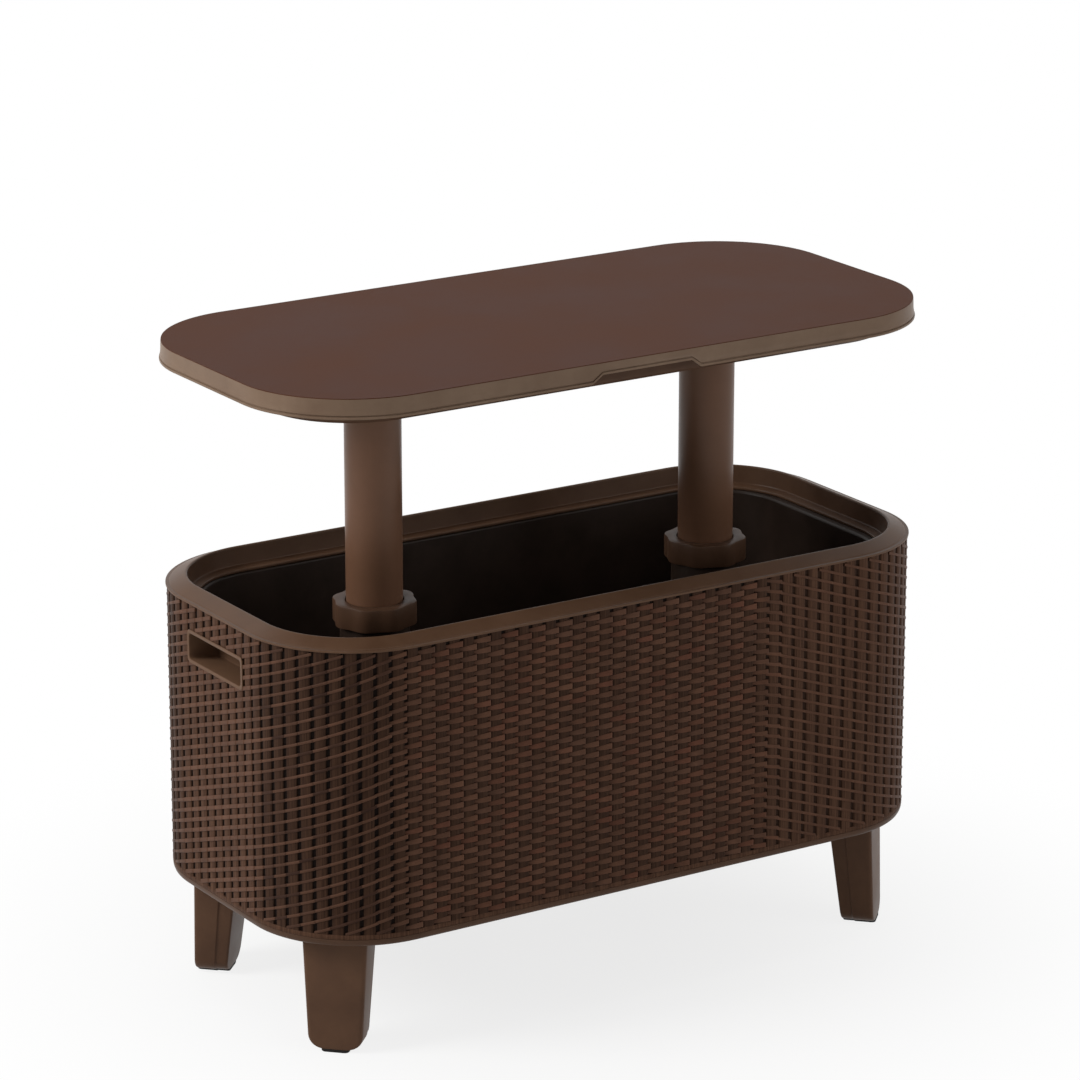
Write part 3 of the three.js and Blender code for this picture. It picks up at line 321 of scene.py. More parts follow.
# Woven shell
# One polypropylene wall with a handle's window in each end, moulded to look like flat basket weave:
# upright stakes, and raised passes over them, half a row higher on each next stake. It stands on the
# pan's lip, and the rim collar is snapped over its top edge.
SIDES = ((-1, "left"), (1, "right"))
SHELL_LOW_Z, SHELL_TOP_Z = LIP_Z + 0.3, 457.5
WEAVE_LOW_Z, WEAVE_HIGH_Z = 145.0, 457.2
# insets of the plain border, the stakes' faces, the ground between them and the wall's inside, and of a
# pass's edges, which are sunk into the ground
BORDER_FACE, STAKE_FACE, GROUND_INSET, SHELL_INNER = 1.2, 1.5, 3.3, 4.92
PASS_ROOT = GROUND_INSET + 0.3
# how far a pass's face falls back at its long edges and at its end
PASS_EDGE = 0.35
STAKES = 132
ROW_PITCH = 11.9
PASS_HEIGHT = 6.4
# a pass's start and end from its stake's middle, its height, the inset of its crest, its fall, taper and
# sag, and its climb in rows a stake: short and swelling to one side on the long sides, thin round the
# corners, and joined to climbing bands on the ends
PASS_LONG = (-15.5, 9.3, PASS_HEIGHT, 0.25, 2.6, 0.45, 0.9, 0.0)
PASS_CORNER = (-9.2, 9.0, 3.2, 0.8, 0.4, 0.0, 0.0, 0.5)
PASS_END = (-9.2, 9.0, 4.6, 0.4, 0.3, 0.0, 0.0, 0.5)
# one kind turns into the next between these distances from the middle of an end: the ends' into the
# corners', and the corners' into the long sides', which lies further on at the right
END_ZONE = (70.0, 100.0)
LONG_LEFT, LONG_RIGHT = (225.0, 285.0), (370.0, 430.0)
# a pass's tone, 0 dark to 1 pale: the middle one, how far single passes stray from it on the ends and
# how much further on the long sides, and the palest one round the left corners, painted darker as shade
TONE_MIDDLE, TONE_STRAY, TONE_STRAY_LONG, TONE_LEFT_CORNER_SHADE = 0.6, 0.2, 0.6, 0.45
TONE_SEED = 11
# a handle's window: half its width and height, those of the space that no pass has its middle in, and
# those of the space that no pass enters; |x| is over END_X on the ends alone
HANDLE_Z = 410.5
WINDOW_HALF, MIDDLES_OUT, PASSES_OUT = (58.8, 17.3), (68.0, 17.5), (59.0, 16.5)
END_X = 400.0


def on_side(along, inset):
    """Point of the tub's side at a distance along its outline from the middle of the right end: with
    side k and distance u on it, corner centre + min(u, length) * tangent + (radius - inset) *
    (cos a, sin a), a = k quarter turns + the rest of u / radius."""
    lengths = np.array([TUB_WIDTH, TUB_LENGTH, TUB_WIDTH, TUB_LENGTH]) - 2 * TUB_CORNER
    starts = np.concatenate([[0.0], np.cumsum(lengths + TUB_CORNER * np.pi / 2)])
    along = np.mod(along + lengths[0] / 2, starts[-1])
    side = np.searchsorted(starts, along, side="right") - 1
    u = along - starts[side]
    straight = np.minimum(u, lengths[side])
    angle = side * np.pi / 2 + (u - straight) / TUB_CORNER
    quarter = side * np.pi / 2
    centre = ((np.array([TUB_LENGTH, TUB_WIDTH]) / 2 - TUB_CORNER) * CORNER_SIGNS)[side - 1]
    reach = TUB_CORNER - inset
    x = centre[..., 0] - straight * np.sin(quarter) + reach * np.cos(angle)
    y = centre[..., 1] + straight * np.cos(quarter) + reach * np.sin(angle)
    return x, y


OUTLINE_LENGTH = 2 * (TUB_LENGTH + TUB_WIDTH - 4 * TUB_CORNER) + 2 * np.pi * TUB_CORNER
STAKE_PITCH = OUTLINE_LENGTH / STAKES

# across a stake, in pitches from its middle, and how far its crowned face has dropped there
ACROSS = np.array([-0.5, -0.4, -0.37, -0.3, 0.0, 0.3, 0.37, 0.4])
DROP = np.array([1.0, 1.0, 0.4, 0.1, 0.0, 0.1, 0.4, 1.0])
ALONG = ((np.arange(STAKES)[:, None] + ACROSS) * STAKE_PITCH).ravel()


def staked(inset, height, depth=0.0):
    """The wall's outline at a height, eight points to a stake: its inset, plus depth in the gaps between
    stakes, falling from a crowned face six tenths of the pitch wide over its rounded edges."""
    x, y = on_side(ALONG, inset + depth * np.tile(DROP, STAKES))
    return np.column_stack([x, y, np.full(len(x), height)])


def smooth(low, high, value):
    """0 below low, 1 above high, and 3 s^2 - 2 s^3 between, s the share of the way."""
    share = np.clip((value - low) / (high - low), 0, 1)
    return share ** 2 * (3 - 2 * share)


def from_end(along):
    """Distance along the outline to the middle of the nearer end."""
    half = OUTLINE_LENGTH / 2
    return np.abs(np.mod(along + half / 2, half) - half / 2)


def at_window(x, y, above, half):
    """Where a point on an end is nearer to a handle's middle than half, both across and upwards."""
    return (np.abs(x) > END_X) & (np.abs(y) < half[0]) & (np.abs(above) < half[1])


def pass_places(parity):
    """Middles of the passes over every second stake, stake * pitch along and row * pitch up, the odd
    stakes' half a row higher, without those at a window or over the edge; and -1 left, 1 right."""
    rows = np.arange(int((WEAVE_HIGH_Z - WEAVE_LOW_Z) / ROW_PITCH) + 1)
    along, height = np.meshgrid(np.arange(parity, STAKES, 2) * STAKE_PITCH,
                                WEAVE_LOW_Z + PASS_HEIGHT / 2 + (rows + parity / 2) * ROW_PITCH)
    along, height = along.ravel(), height.ravel()
    x, y = on_side(along, 0.0)
    keep = (height + PASS_HEIGHT / 2 < WEAVE_HIGH_Z) & ~at_window(x, y, height - HANDLE_Z, MIDDLES_OUT)
    return along[keep], height[keep], np.sign(x[keep])


def bars(count, rings, around):
    """Faces of closed bars, each of some rings of around points: (i, j), (i+1, j), (i+1, j+1), (i, j+1),
    and a flat face on its first and its last ring."""
    index = np.arange(rings * around).reshape(rings, around)
    beside = np.roll(index, -1, 1)
    quads = np.stack([index[:-1], index[1:], beside[1:], beside[:-1]], -1).reshape(-1, 4)
    shift = np.arange(count) * index.size
    faces = (quads[None] + shift[:, None, None]).reshape(-1, 4).tolist()
    faces += (index[0][None] + shift[:, None]).tolist()
    faces += (index[-1][::-1][None] + shift[:, None]).tolist()
    return faces


def weave_passes(parity):
    """The passes over every second stake, each with sizes mixed from the three kinds by its distance from
    the middle of the nearer end. With t from 0 to 1 along a pass and v from -1 to 1 across it, its face
    stands at crest + fall * (1 - t)^1.7 + edge * v^6, it is 1 - taper * (1 - t^0.7) of its full height,
    and it sags by sag * (1 - t)^1.5 and climbs to the front by climb rows a stake. At a window it ends
    behind the cup's border. Returns points, faces, a tone for each point, and (place along, v, relief)."""
    along, height, side = (values[:, None, None] for values in pass_places(parity))
    distance = from_end(along)
    end = 1 - smooth(*END_ZONE, distance)
    long = np.where(side < 0, smooth(*LONG_LEFT, distance), smooth(*LONG_RIGHT, distance))
    corner = 1 - long - end
    sizes = [long * a + corner * b + end * c for a, b, c in zip(PASS_LONG, PASS_CORNER, PASS_END)]
    start, stop, tall, crest, fall, taper, sag, climb = sizes
    t = np.array([0, 0.12, 0.4, 0.7, 0.9, 0.985, 1])[:, None]
    v = np.array([-1, -1, -0.84, 0, 0.84, 1, 1])
    face = crest + fall * (1 - t) ** 1.7 + PASS_EDGE * v ** 6 + PASS_EDGE * (t == 1)
    face[..., [0, -1]] = PASS_ROOT
    offset = start + t * (stop - start)
    width = (1 - taper * (1 - t ** 0.7)) * v * tall / 2 - sag * (1 - t) ** 1.5
    width = width - side * climb * ROW_PITCH * offset / STAKE_PITCH
    at = np.broadcast_to(along + offset, face.shape)
    x, y = on_side(at, np.minimum(face, PASS_ROOT))
    z = np.minimum(height + width, WEAVE_HIGH_Z)
    above = z - HANDLE_Z
    z = np.where(at_window(x, y, above, PASSES_OUT), HANDLE_Z + PASSES_OUT[1] * np.sign(above), z)
    points = np.stack([x, y, z], -1).reshape(-1, 3)
    draw = np.random.default_rng(TONE_SEED + parity).random(len(along))
    plain = TONE_MIDDLE + (draw - 0.5) * (TONE_STRAY + TONE_STRAY_LONG * long.ravel())
    # round the left corners the tones are pulled down, a painted shade
    tone = plain + (TONE_LEFT_CORNER_SHADE * draw - plain) * (corner * (side < 0)).ravel()
    # the relief, 1 on a pass's crest and 0 at its root, is what the material paints shade by
    relief = 1 - (face - crest) / (PASS_ROOT - crest)
    strand = np.column_stack([at.ravel() * MM, np.broadcast_to(v, face.shape).ravel(), relief.ravel()])
    return points, bars(len(along), t.size, v.size), np.repeat(tone, t.size * v.size), strand


def carve(obj, cutters):
    """Take closed surfaces out of a piece with an exact Boolean, and keep the result as its mesh."""
    helpers = []
    for surface in cutters:
        mesh = bpy.data.meshes.new("cutter")
        mesh.from_pydata((surface[0] * MM).tolist(), [], surface[1])
        helper = bpy.data.objects.new("cutter", mesh)
        scene.collection.objects.link(helper)
        helpers.append(helper)
        modifier = obj.modifiers.new("cut", "BOOLEAN")
        modifier.object = helper
        modifier.solver = "EXACT"
    bpy.context.view_layer.update()
    done = obj.evaluated_get(bpy.context.evaluated_depsgraph_get())
    result = bpy.data.meshes.new_from_object(done)
    obj.modifiers.clear()
    obj.data = result
    for helper in helpers:
        bpy.data.objects.remove(helper, do_unlink=True)


def slab(low, high):
    """A box between two corners, low + (high - low) * (0 or 1), as points and faces."""
    ring = np.array([(1, 1), (0, 1), (0, 0), (1, 0)])
    flat = low[:2] + (high - low)[:2] * ring
    sections = np.stack([np.column_stack([flat, np.full(4, z)]) for z in (low[2], high[2])])
    return skin(sections)


# Polypropylene moulded over a relief: satin passes with fibres along them, each of its own tone, uneven
# over clouds of about 28 mm, and painted darker towards the ground as shade
weave_brown, tree, place = new_material("moulded_weave_brown")
tone = add(tree, "ShaderNodeAttribute", {"attribute_name": "tone"}).outputs["Fac"]
strand = add(tree, "ShaderNodeAttribute", {"attribute_name": "strand"}).outputs["Vector"]
parts = add(tree, "ShaderNodeSeparateXYZ", Vector=strand).outputs
shade = add(tree, "ShaderNodeValToRGB", Fac=tone)
shade.color_ramp.elements[0].color = linear("#3a271f")
shade.color_ramp.elements[1].color = linear("#603d2f")
for position, colour in ((0.2, "#583e31"), (0.68, "#5e4132")):
    shade.color_ramp.elements.new(position).color = linear(colour)
cloud = add(tree, "ShaderNodeTexNoise", Vector=place, Scale=1 / (28 * MM), Detail=4.0)
level = add(tree, "ShaderNodeMapRange", Value=cloud.outputs["Fac"], From_Min=0.3, From_Max=0.7,
            To_Min=0.74, To_Max=1.16)
uneven = add(tree, "ShaderNodeVectorMath", {"operation": "SCALE"}, i0=shade.outputs["Color"],
             i3=level.outputs["Result"])
# painted shade: a pass's low parts, by the relief in its strand, are mixed towards near black
depth = add(tree, "ShaderNodeMapRange", Value=parts["Z"], From_Min=0.1, From_Max=0.8)
painted_shade = add(tree, "ShaderNodeMix", {"data_type": "RGBA"}, i0=depth.outputs["Result"], i6=linear("#1d110b"),
           i7=uneven.outputs["Vector"])
# fibres about 11 mm long and 1 mm across: 90 to a metre along a pass, and 3.2 to half its height
stretched = add(tree, "ShaderNodeVectorMath", {"operation": "MULTIPLY"}, i0=strand, i1=(90.0, 3.2, 0.0))
fibre = add(tree, "ShaderNodeTexNoise", Vector=stretched.outputs[0], Scale=1.0, Detail=3.0)
bump = add(tree, "ShaderNodeBump", Strength=0.5, Distance=0.25 * MM, Height=fibre.outputs["Fac"])
rough = add(tree, "ShaderNodeMapRange", Value=fibre.outputs["Fac"], From_Min=0.3, From_Max=0.7,
            To_Min=0.4, To_Max=0.54)
fill(tree, tree.nodes["Principled BSDF"], Base_Color=painted_shade.outputs[2], IOR=PLASTIC_IOR,
     Specular_IOR_Level=0.06, Roughness=rough.outputs["Result"], Normal=bump.outputs["Normal"])
# The same plastic under the passes: its fibres run upright, and the gaps between stakes are painted near
# black as shade
stake_brown, tree, place = new_material("moulded_weave_stakes")
stretched = add(tree, "ShaderNodeVectorMath", {"operation": "MULTIPLY"}, i0=place,
                i1=(1 / (1.6 * MM), 1 / (1.6 * MM), 1 / (60 * MM)))
fibre = add(tree, "ShaderNodeTexNoise", Vector=stretched.outputs[0], Scale=1.0, Detail=3.0)
shade = add(tree, "ShaderNodeValToRGB", Fac=fibre.outputs["Fac"])
for element, position, colour in zip(shade.color_ramp.elements, (0.35, 0.65), ("#422d22", "#5a4031")):
    element.position = position
    element.color = linear(colour)
# painted shade: the wall is mixed towards near black where its relief is low
relief = add(tree, "ShaderNodeAttribute", {"attribute_name": "relief"}).outputs["Fac"]
painted_shade = add(tree, "ShaderNodeMix", {"data_type": "RGBA"}, i0=relief, i6=linear("#120a07"),
           i7=shade.outputs["Color"])
bump = add(tree, "ShaderNodeBump", Strength=0.5, Distance=0.25 * MM, Height=fibre.outputs["Fac"])
fill(tree, tree.nodes["Principled BSDF"], Base_Color=painted_shade.outputs[2], IOR=PLASTIC_IOR,
     Specular_IOR_Level=0.05, Roughness=0.55, Normal=bump.outputs["Normal"])

# the wall from its foot up over the plain border and the stakes, and down its inside; two rings of it lie
# a little under and over the windows, so that the cut has whole faces round it
WINDOW_MARGIN = 1.5
foot = [(STAKE_FACE, SHELL_LOW_Z), (BORDER_FACE, SHELL_LOW_Z + 0.4),
        (BORDER_FACE, WEAVE_LOW_Z - 1.2), (STAKE_FACE, WEAVE_LOW_Z - 0.8)]
face_heights = [WEAVE_LOW_Z - 0.6, HANDLE_Z - WINDOW_HALF[1] - WINDOW_MARGIN,
                HANDLE_Z + WINDOW_HALF[1] + WINDOW_MARGIN, SHELL_TOP_Z]
wall_rings = np.stack(
    [staked(inset, height) for inset, height in foot]
    + [staked(STAKE_FACE, height, GROUND_INSET - STAKE_FACE) for height in face_heights]
    + [staked(SHELL_INNER, SHELL_TOP_Z), staked(SHELL_INNER, SHELL_LOW_Z)])
shell_wall = piece("shell_wall_moulding", skin(wall_rings, loop=True), stake_brown, "tub",
                   "woven_brown", "outer_shell", sharp=50)
# the relief is 1 on the plain border and the stakes' faces and 0 in the gaps between them, and the
# material paints shade by it. It is less, a painted shade, where the passes shade the stakes, from the left
# end's corners on and along the long sides, and more, a painted light, in the gaps round the right end
PASS_SHADE, RIGHT_GAP_LIGHT = 0.45, 0.3
gap, right = np.tile(DROP, STAKES), on_side(ALONG, 0.0)[0] > 0
shaded = np.where(right, smooth(*LONG_RIGHT, from_end(ALONG)), smooth(*END_ZONE, from_end(ALONG)))
relief = np.ones(wall_rings.shape[:2])
relief[len(foot):-2] = (1 - gap) * (1 - PASS_SHADE * shaded) + RIGHT_GAP_LIGHT * gap * right * (1 - shaded)
shell_wall.data.attributes.new("relief", "FLOAT", "POINT").data.foreach_set("value", relief.ravel())
# the windows are cut right through the wall, 20 mm to each side of its face
cut_half = np.array([20.0, *WINDOW_HALF])
window_middles = [np.array([sign * TUB_LENGTH / 2, 0, HANDLE_Z]) for sign in (-1, 1)]
carve(shell_wall, [slab(middle - cut_half, middle + cut_half) for middle in window_middles])
for parity, which in ((0, "even"), (1, "odd")):
    points, faces, tones, strands = weave_passes(parity)
    weave = piece(f"weave_{which}_columns", (points, faces), weave_brown, "tub", "woven_brown", sharp=60)
    weave.data.attributes.new("tone", "FLOAT", "POINT").data.foreach_set("value", tones)
    weave.data.attributes.new("strand", "FLOAT_VECTOR", "POINT").data.foreach_set("vector", strands.ravel())

# Foam
# Pale closed-cell foam, blown between the walls: a sleeve inside the shell, a slab under the liner and
# one in the lid. It is shut in, and shows only when the object is taken apart.

# Matt and chalky, with its cells drawn 2.5 mm wide, coarser than they are, so that they show
foam, tree, place = new_material("blown_foam_pale")
cells = add(tree, "ShaderNodeTexVoronoi", Vector=place, Scale=1 / (2.5 * MM))
shade = add(tree, "ShaderNodeValToRGB", Fac=cells.outputs["Distance"])
shade.color_ramp.elements[0].color = linear("#e2dfd6")
shade.color_ramp.elements[1].color = linear("#c9c5b9")
bump = add(tree, "ShaderNodeBump", Strength=0.7, Distance=0.4 * MM, Height=cells.outputs["Distance"])
fill(tree, tree.nodes["Principled BSDF"], Base_Color=shade.outputs["Color"], Roughness=0.9,
     Normal=bump.outputs["Normal"])


def finish_node(node, material):
    """Give a CAD node's object a material in each of its slots."""
    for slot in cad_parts[node].material_slots:
        slot.material = material


for node in ("insulation_sleeve", "insulation_floor", "lid_insulation"):
    finish_node(node, foam)

# Inner liner
# The inside of the tub: a deep moulded polypropylene tray, near black, that hangs by its flange under
# the rim. Its floor has two round holes for the post guides and one for the drain.
GUIDE_X = 216.8
LINER_TOP_Z, LINER_UNDER_Z, LINER_FLOOR_Z = 441.7, 160.0, 162.5
GUIDE_HOLE, PIPE_HOLE = 38.4, 14.4
# the liner's ends stand this much further in than its sides
END_INSET = 9


def once_round(steps):
    """The angles of some steps once round."""
    return np.arange(steps) * 2 * np.pi / steps


def turned(profile, x=0.0, steps=72):
    """Turn a profile of (radius, height) about an upright axis at x: for each of its points the ring
    (x + r cos a, r sin a), a once round, where r is one number or one for each a."""
    angle = once_round(steps)
    rings = [np.column_stack([x + radius * np.cos(angle), radius * np.sin(angle), np.full(steps, height)])
             for radius, height, *_ in profile]
    return np.stack(rings)


# Polypropylene, darker and smoother than the outside, so that it sheds water
liner_black = moulded("moulded_polypropylene_liner", ("#261c16", "#31251e"), 0.42, gloss=0.15,
                      grain=2.2, relief=0.04)
# (inset, height, inset of the ends besides), from the underside up the outside and down the inside
liner_profile = eased(
    [(53.5, LINER_UNDER_Z, END_INSET), (39.5, LINER_UNDER_Z, END_INSET),
     (34.5, LINER_TOP_Z - 2.5, END_INSET), (22, LINER_TOP_Z - 2.5), (22, LINER_TOP_Z),
     (37, LINER_TOP_Z, END_INSET), (42, LINER_FLOOR_Z, END_INSET), (60, LINER_FLOOR_Z, END_INSET)],
    [0, 16, 1, 0, 0, 3, 14, 0], steps=6,
)
liner = piece("liner_moulding", skin(carried(liner_profile)), liner_black, "tub",
              "black_plastic", "inner_liner")
# the holes are cut from under the floor to over it
carve(liner, [skin(turned([(radius, LINER_UNDER_Z - 10), (radius, LINER_FLOOR_Z + 12.5)], x))
              for radius, x in ((GUIDE_HOLE, -GUIDE_X), (GUIDE_HOLE, GUIDE_X), (PIPE_HOLE, 0.0))])

# Handle cups
# A brown moulded pocket let into each end wall: a slot open outwards with a thin border that laps the
# weave, and a floor that falls a little inwards. The whole tub is lifted by the two.
CUP_FACE = TUB_LENGTH / 2
CUP_DEPTH, CUP_BACK = 37.0, 39.5
POCKET_HALF = (56.0, 14.5)


def pocket(spread, depth, round_to, drop=0.0):
    """The pocket's outline square to its end, at a depth: a rectangle of its half sizes + spread, its
    corners rounded as in eased, its lower edge dropped."""
    half_y, half_z = POCKET_HALF[0] + spread, POCKET_HALF[1] + spread
    corners = [(half_y, half_z), (-half_y, half_z), (-half_y, -half_z - drop), (half_y, -half_z - drop)]
    ring = eased(corners, round_to, steps=6, loop=True)
    return np.column_stack([np.full(len(ring), CUP_FACE - depth), ring[:, 0], ring[:, 1] + HANDLE_Z])


# from the back up the outside, over the border and down into the pocket
cup_rings = np.stack([
    pocket(2.5, CUP_BACK, 6, 4), pocket(2.5, 1.4, 6), pocket(4.0, 1.4, 6), pocket(4.0, 0.5, 6),
    pocket(3.6, 0.05, 6), pocket(0.9, 0.05, 5), pocket(0.2, 0.4, 4.5), pocket(0.0, 1.2, 4.5),
    pocket(0.0, CUP_DEPTH - 3, 4.5, 3.7), pocket(-0.8, CUP_DEPTH - 0.7, 4, 4), pocket(-3.0, CUP_DEPTH, 3, 4),
])
# Polypropylene with the tool's plain satin, painted paler than the weave round it: painted light for the
# light its pocket catches
cup_brown_painted_light = moulded("moulded_polypropylene_cup_painted_light", ("#5e4635", "#6b503d"), 0.44, gloss=0.12)
for sign, side in SIDES:
    piece(f"handle_cup_moulding_{side}", skin(cup_rings * (sign, sign, 1)), cup_brown_painted_light, "tub",
          "smooth_brown", f"handle_cup_{side}")

# Rim collar
# A brown moulded ring snapped over the shell's top edge: a thin lip that the closed lid rests on, a
# sloping band up to a rounded crest, and a throat down to a shelf that hides the liner's flange.
RIM_EDGE_Z, LEDGE_Z, CREST_Z, SHELF_Z, SPIGOT_Z = 457.8, 460.0, 468.5, 442.0, 446.0
# (inset, height) round the section: edge, ledge, band, crest, throat, shelf, and back under the band to
# the spigot inside the shell's wall
rim_profile = eased(
    [(0, RIM_EDGE_Z), (0, LEDGE_Z), (4, LEDGE_Z), (5, LEDGE_Z + 1), (22, CREST_Z), (24, CREST_Z - 1),
     (25, SHELF_Z + 4.5), (36, SHELF_Z + 3), (36, SHELF_Z), (22, SHELF_Z), (22, CREST_Z - 3.3),
     (SEAT_INNER, LEDGE_Z - 0.6), (SEAT_INNER, SPIGOT_Z), (SEAT_OUTER, SPIGOT_Z),
     (SEAT_OUTER, RIM_EDGE_Z)],
    [0.5, 0.9, 0.5, 0.8, 2.2, 1.2, 1.5, 1.2, 0.8, 0, 0, 0, 0, 0, 0], loop=True,
)
# Polypropylene from a smoother tool: a little glossier than the pan, and painted a shade lighter as painted
# light
rim_brown_painted_light = moulded("moulded_polypropylene_rim_painted_light", ("#583f2e", "#634937"), 0.38, gloss=0.15)
piece("rim_moulding", skin(carried(rim_profile), loop=True), rim_brown_painted_light, "tub", "smooth_brown", "rim_collar")

# Post guides, bushes and lock collars
# Two black tubes, closed at the bottom, screwed through the liner's floor; the posts slide in them.
# Each has a grey bearing bush in its mouth and a lobed brown collar that is turned to grip the post.
POLE = 0.01
GUIDE_RADIUS, GUIDE_BORE, GUIDE_FLANGE = 38.0, 35.0, 50.0
GUIDE_LOW_Z, GUIDE_FLOOR_Z, FLANGE_LOW_Z, FLANGE_TOP_Z, GUIDE_TOP_Z = 134.3, 136.8, 164.6, 168.6, 437.0
BUSH_LOW_Z, BUSH_SEAT_Z, BUSH_TOP_Z = 411.3, 437.3, 440.3
LOCK_LOW_Z, LOCK_WEB_Z, LOCK_TOP_Z = 419.0, 440.6, 445.0
LOCK_RADIUS, LOBES, LOBE = 45.0, 8, 1.6
# (radius, height), with a radius of POLE where the surface closes on its axis
guide_profile = eased(
    [(POLE, GUIDE_LOW_Z), (GUIDE_RADIUS, GUIDE_LOW_Z), (GUIDE_RADIUS, FLANGE_LOW_Z),
     (GUIDE_FLANGE, FLANGE_LOW_Z), (GUIDE_FLANGE, FLANGE_TOP_Z), (GUIDE_RADIUS, FLANGE_TOP_Z),
     (GUIDE_RADIUS, GUIDE_TOP_Z), (GUIDE_BORE, GUIDE_TOP_Z), (GUIDE_BORE, GUIDE_FLOOR_Z),
     (POLE, GUIDE_FLOOR_Z)],
    [0, 1, 0, 0.6, 1.2, 2.5, 0.6, 0.5, 0, 0],
)
bush_profile = eased(
    [(34.7, BUSH_LOW_Z), (34.7, BUSH_SEAT_Z), (37.7, BUSH_SEAT_Z), (37.7, BUSH_TOP_Z),
     (31.5, BUSH_TOP_Z), (31.5, BUSH_LOW_Z)],
    [0.6, 0, 0.4, 0.4, 0.8, 0.8], loop=True,
)
# Acetal: a slippery grey bearing plastic, even and waxy
acetal = moulded("moulded_acetal_grey", ("#827e76", "#928e86"), 0.4, grain=3.0, relief=0.02)
# a lock collar goes up its lobed outside, radius + lobe * cos(lobes * a) with rounded edges, over its top
# and down its bore, which widens under a web to go round the guide's mouth
lobed = LOCK_RADIUS + LOBE * np.cos(LOBES * once_round(128))
lock_profile = [
    (lobed - 1.4, LOCK_LOW_Z), (lobed - 0.5, LOCK_LOW_Z + 0.4), (lobed, LOCK_LOW_Z + 1.6),
    (lobed, LOCK_TOP_Z - 1.8), (lobed - 0.6, LOCK_TOP_Z - 0.5), (lobed - 2.0, LOCK_TOP_Z),
    (33.0, LOCK_TOP_Z), (32.2, LOCK_TOP_Z - 0.4), (32.0, LOCK_TOP_Z - 1.1), (32.0, LOCK_WEB_Z),
    (39.0, LOCK_WEB_Z), (39.0, LOCK_LOW_Z)]
for sign, side in SIDES:
    x = sign * GUIDE_X
    piece(f"post_guide_moulding_{side}", skin(turned(guide_profile, x)), liner_black, "tub",
          "black_plastic", f"post_guide_{side}")
    piece(f"guide_bush_moulding_{side}", skin(turned(bush_profile, x), loop=True), acetal, "tub",
          "grey_plastic", f"guide_bush_{side}")
    piece(f"lock_collar_moulding_{side}", skin(turned(lock_profile, x, 128), loop=True), smooth_brown,
          f"lock_{side}", "smooth_brown", f"lock_collar_{side}")
    finish_node(f"guide_seal_{side}", rubber)

# Screws and bolts
# Zinc-plated pan-head screws with a cross recess, and the four flanged leg bolts, which stand in
# the foam out of sight.
SHANK_LENGTHS = {"guide_screw": 16.0, "post_screw": 10.0, "lid_screw": 18.0}
SCREW_STEPS = 32
# the recess's arms: half their width, how far they reach from the middle, and their depth
RECESS_HALF, RECESS_REACH, RECESS_DEPTH = 0.5, 2.2, 1.1
# Steel, zinc plated: bright and cool, with a faint cloudiness in its tone and its shine
zinc, tree, place = new_material("zinc_plated_steel")
drift = add(tree, "ShaderNodeTexNoise", Vector=place, Scale=1 / (1.5 * MM), Detail=4.0)
shade = add(tree, "ShaderNodeValToRGB", Fac=drift.outputs["Fac"])
shade.color_ramp.elements[0].color = linear("#8f9195")
shade.color_ramp.elements[1].color = linear("#b9bbbe")
rough = add(tree, "ShaderNodeMapRange", Value=drift.outputs["Fac"], To_Min=0.28, To_Max=0.42)
fill(tree, tree.nodes["Principled BSDF"], Base_Color=shade.outputs["Color"], Metallic=1.0,
     Roughness=rough.outputs["Result"])


def screw(node, seat, flipped):
    """A screw in its node's box: a shank as long as seat, with a cone point, and a domed head, turned
    from a profile. In the head is a cross recess, where |x| or |y| is under its half width, and the
    radius under its reach."""
    low, high = (np.array(corner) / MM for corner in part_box(node))
    x, y = (low[:2] + high[:2]) / 2
    shank = turned([(POLE, 0), (1.6, 2), (2, 2.4), (2, seat), (4.1, seat), (4.2, seat + 0.9),
                    (3.6, seat + 1.9), (2.9, seat + 2.35)], steps=SCREW_STEPS)
    radii = np.array([2.3, 1.9, 1.2, 0.5, POLE])[:, None]
    angle = once_round(SCREW_STEPS)
    across = np.stack([radii * np.cos(angle), radii * np.sin(angle)], -1)
    crossed = (np.abs(across).min(-1) < RECESS_HALF) & (radii < RECESS_REACH)
    height = seat + 2.6 - 0.02 * radii - RECESS_DEPTH * crossed
    rings = np.concatenate([shank, np.concatenate([across, height[..., None]], -1)])
    if flipped:
        rings = rings * (1, -1, -1) + (x, y, high[2])
    else:
        rings = rings + (x, y, low[2])
    return skin(rings)


for node in sorted(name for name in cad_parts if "screw" in name):
    kind = node.split("screw")[0] + "screw"
    body = "tub" if kind == "guide_screw" else "lid"
    piece(f"{node}_zinc", screw(node, SHANK_LENGTHS[kind], kind == "lid_screw"), zinc, body, "steel", node)
for where in CORNER_NAMES:
    finish_node(f"leg_bolt_{where}", zinc)

# Drain
# A flanged black pipe through the middle of the floor, held by a ring nut under the pan. A brown plug
# with a fluted grip closes it from below on a rubber seal.
PIPE_RADIUS, PIPE_BORE, PIPE_LOW_Z, PIPE_TOP_Z = 14.0, 11.0, 121.0, 167.6
NUT_CORNER, NUT_LOW_Z, NUT_TOP_Z = 21.0, 123.7, 129.7
GRIP_RADIUS, FLUTES, FLUTE = 16.6, 20, 0.4
PLUG_GRIP_Z, PLUG_SEAT_Z, PLUG_TIP_Z = 108.9, 118.9, 146.9
pipe_profile = eased(
    [(PIPE_RADIUS, PIPE_LOW_Z), (PIPE_RADIUS, FLANGE_LOW_Z), (24, FLANGE_LOW_Z), (24, 165.4),
     (PIPE_RADIUS, PIPE_TOP_Z), (PIPE_BORE, PIPE_TOP_Z), (PIPE_BORE, PIPE_LOW_Z)],
    [0.6, 0, 0.3, 0.3, 1.2, 0.8, 0.6], loop=True,
)
piece("drain_pipe_moulding", skin(turned(pipe_profile), loop=True), liner_black, "tub",
      "black_plastic", "drain_pipe")
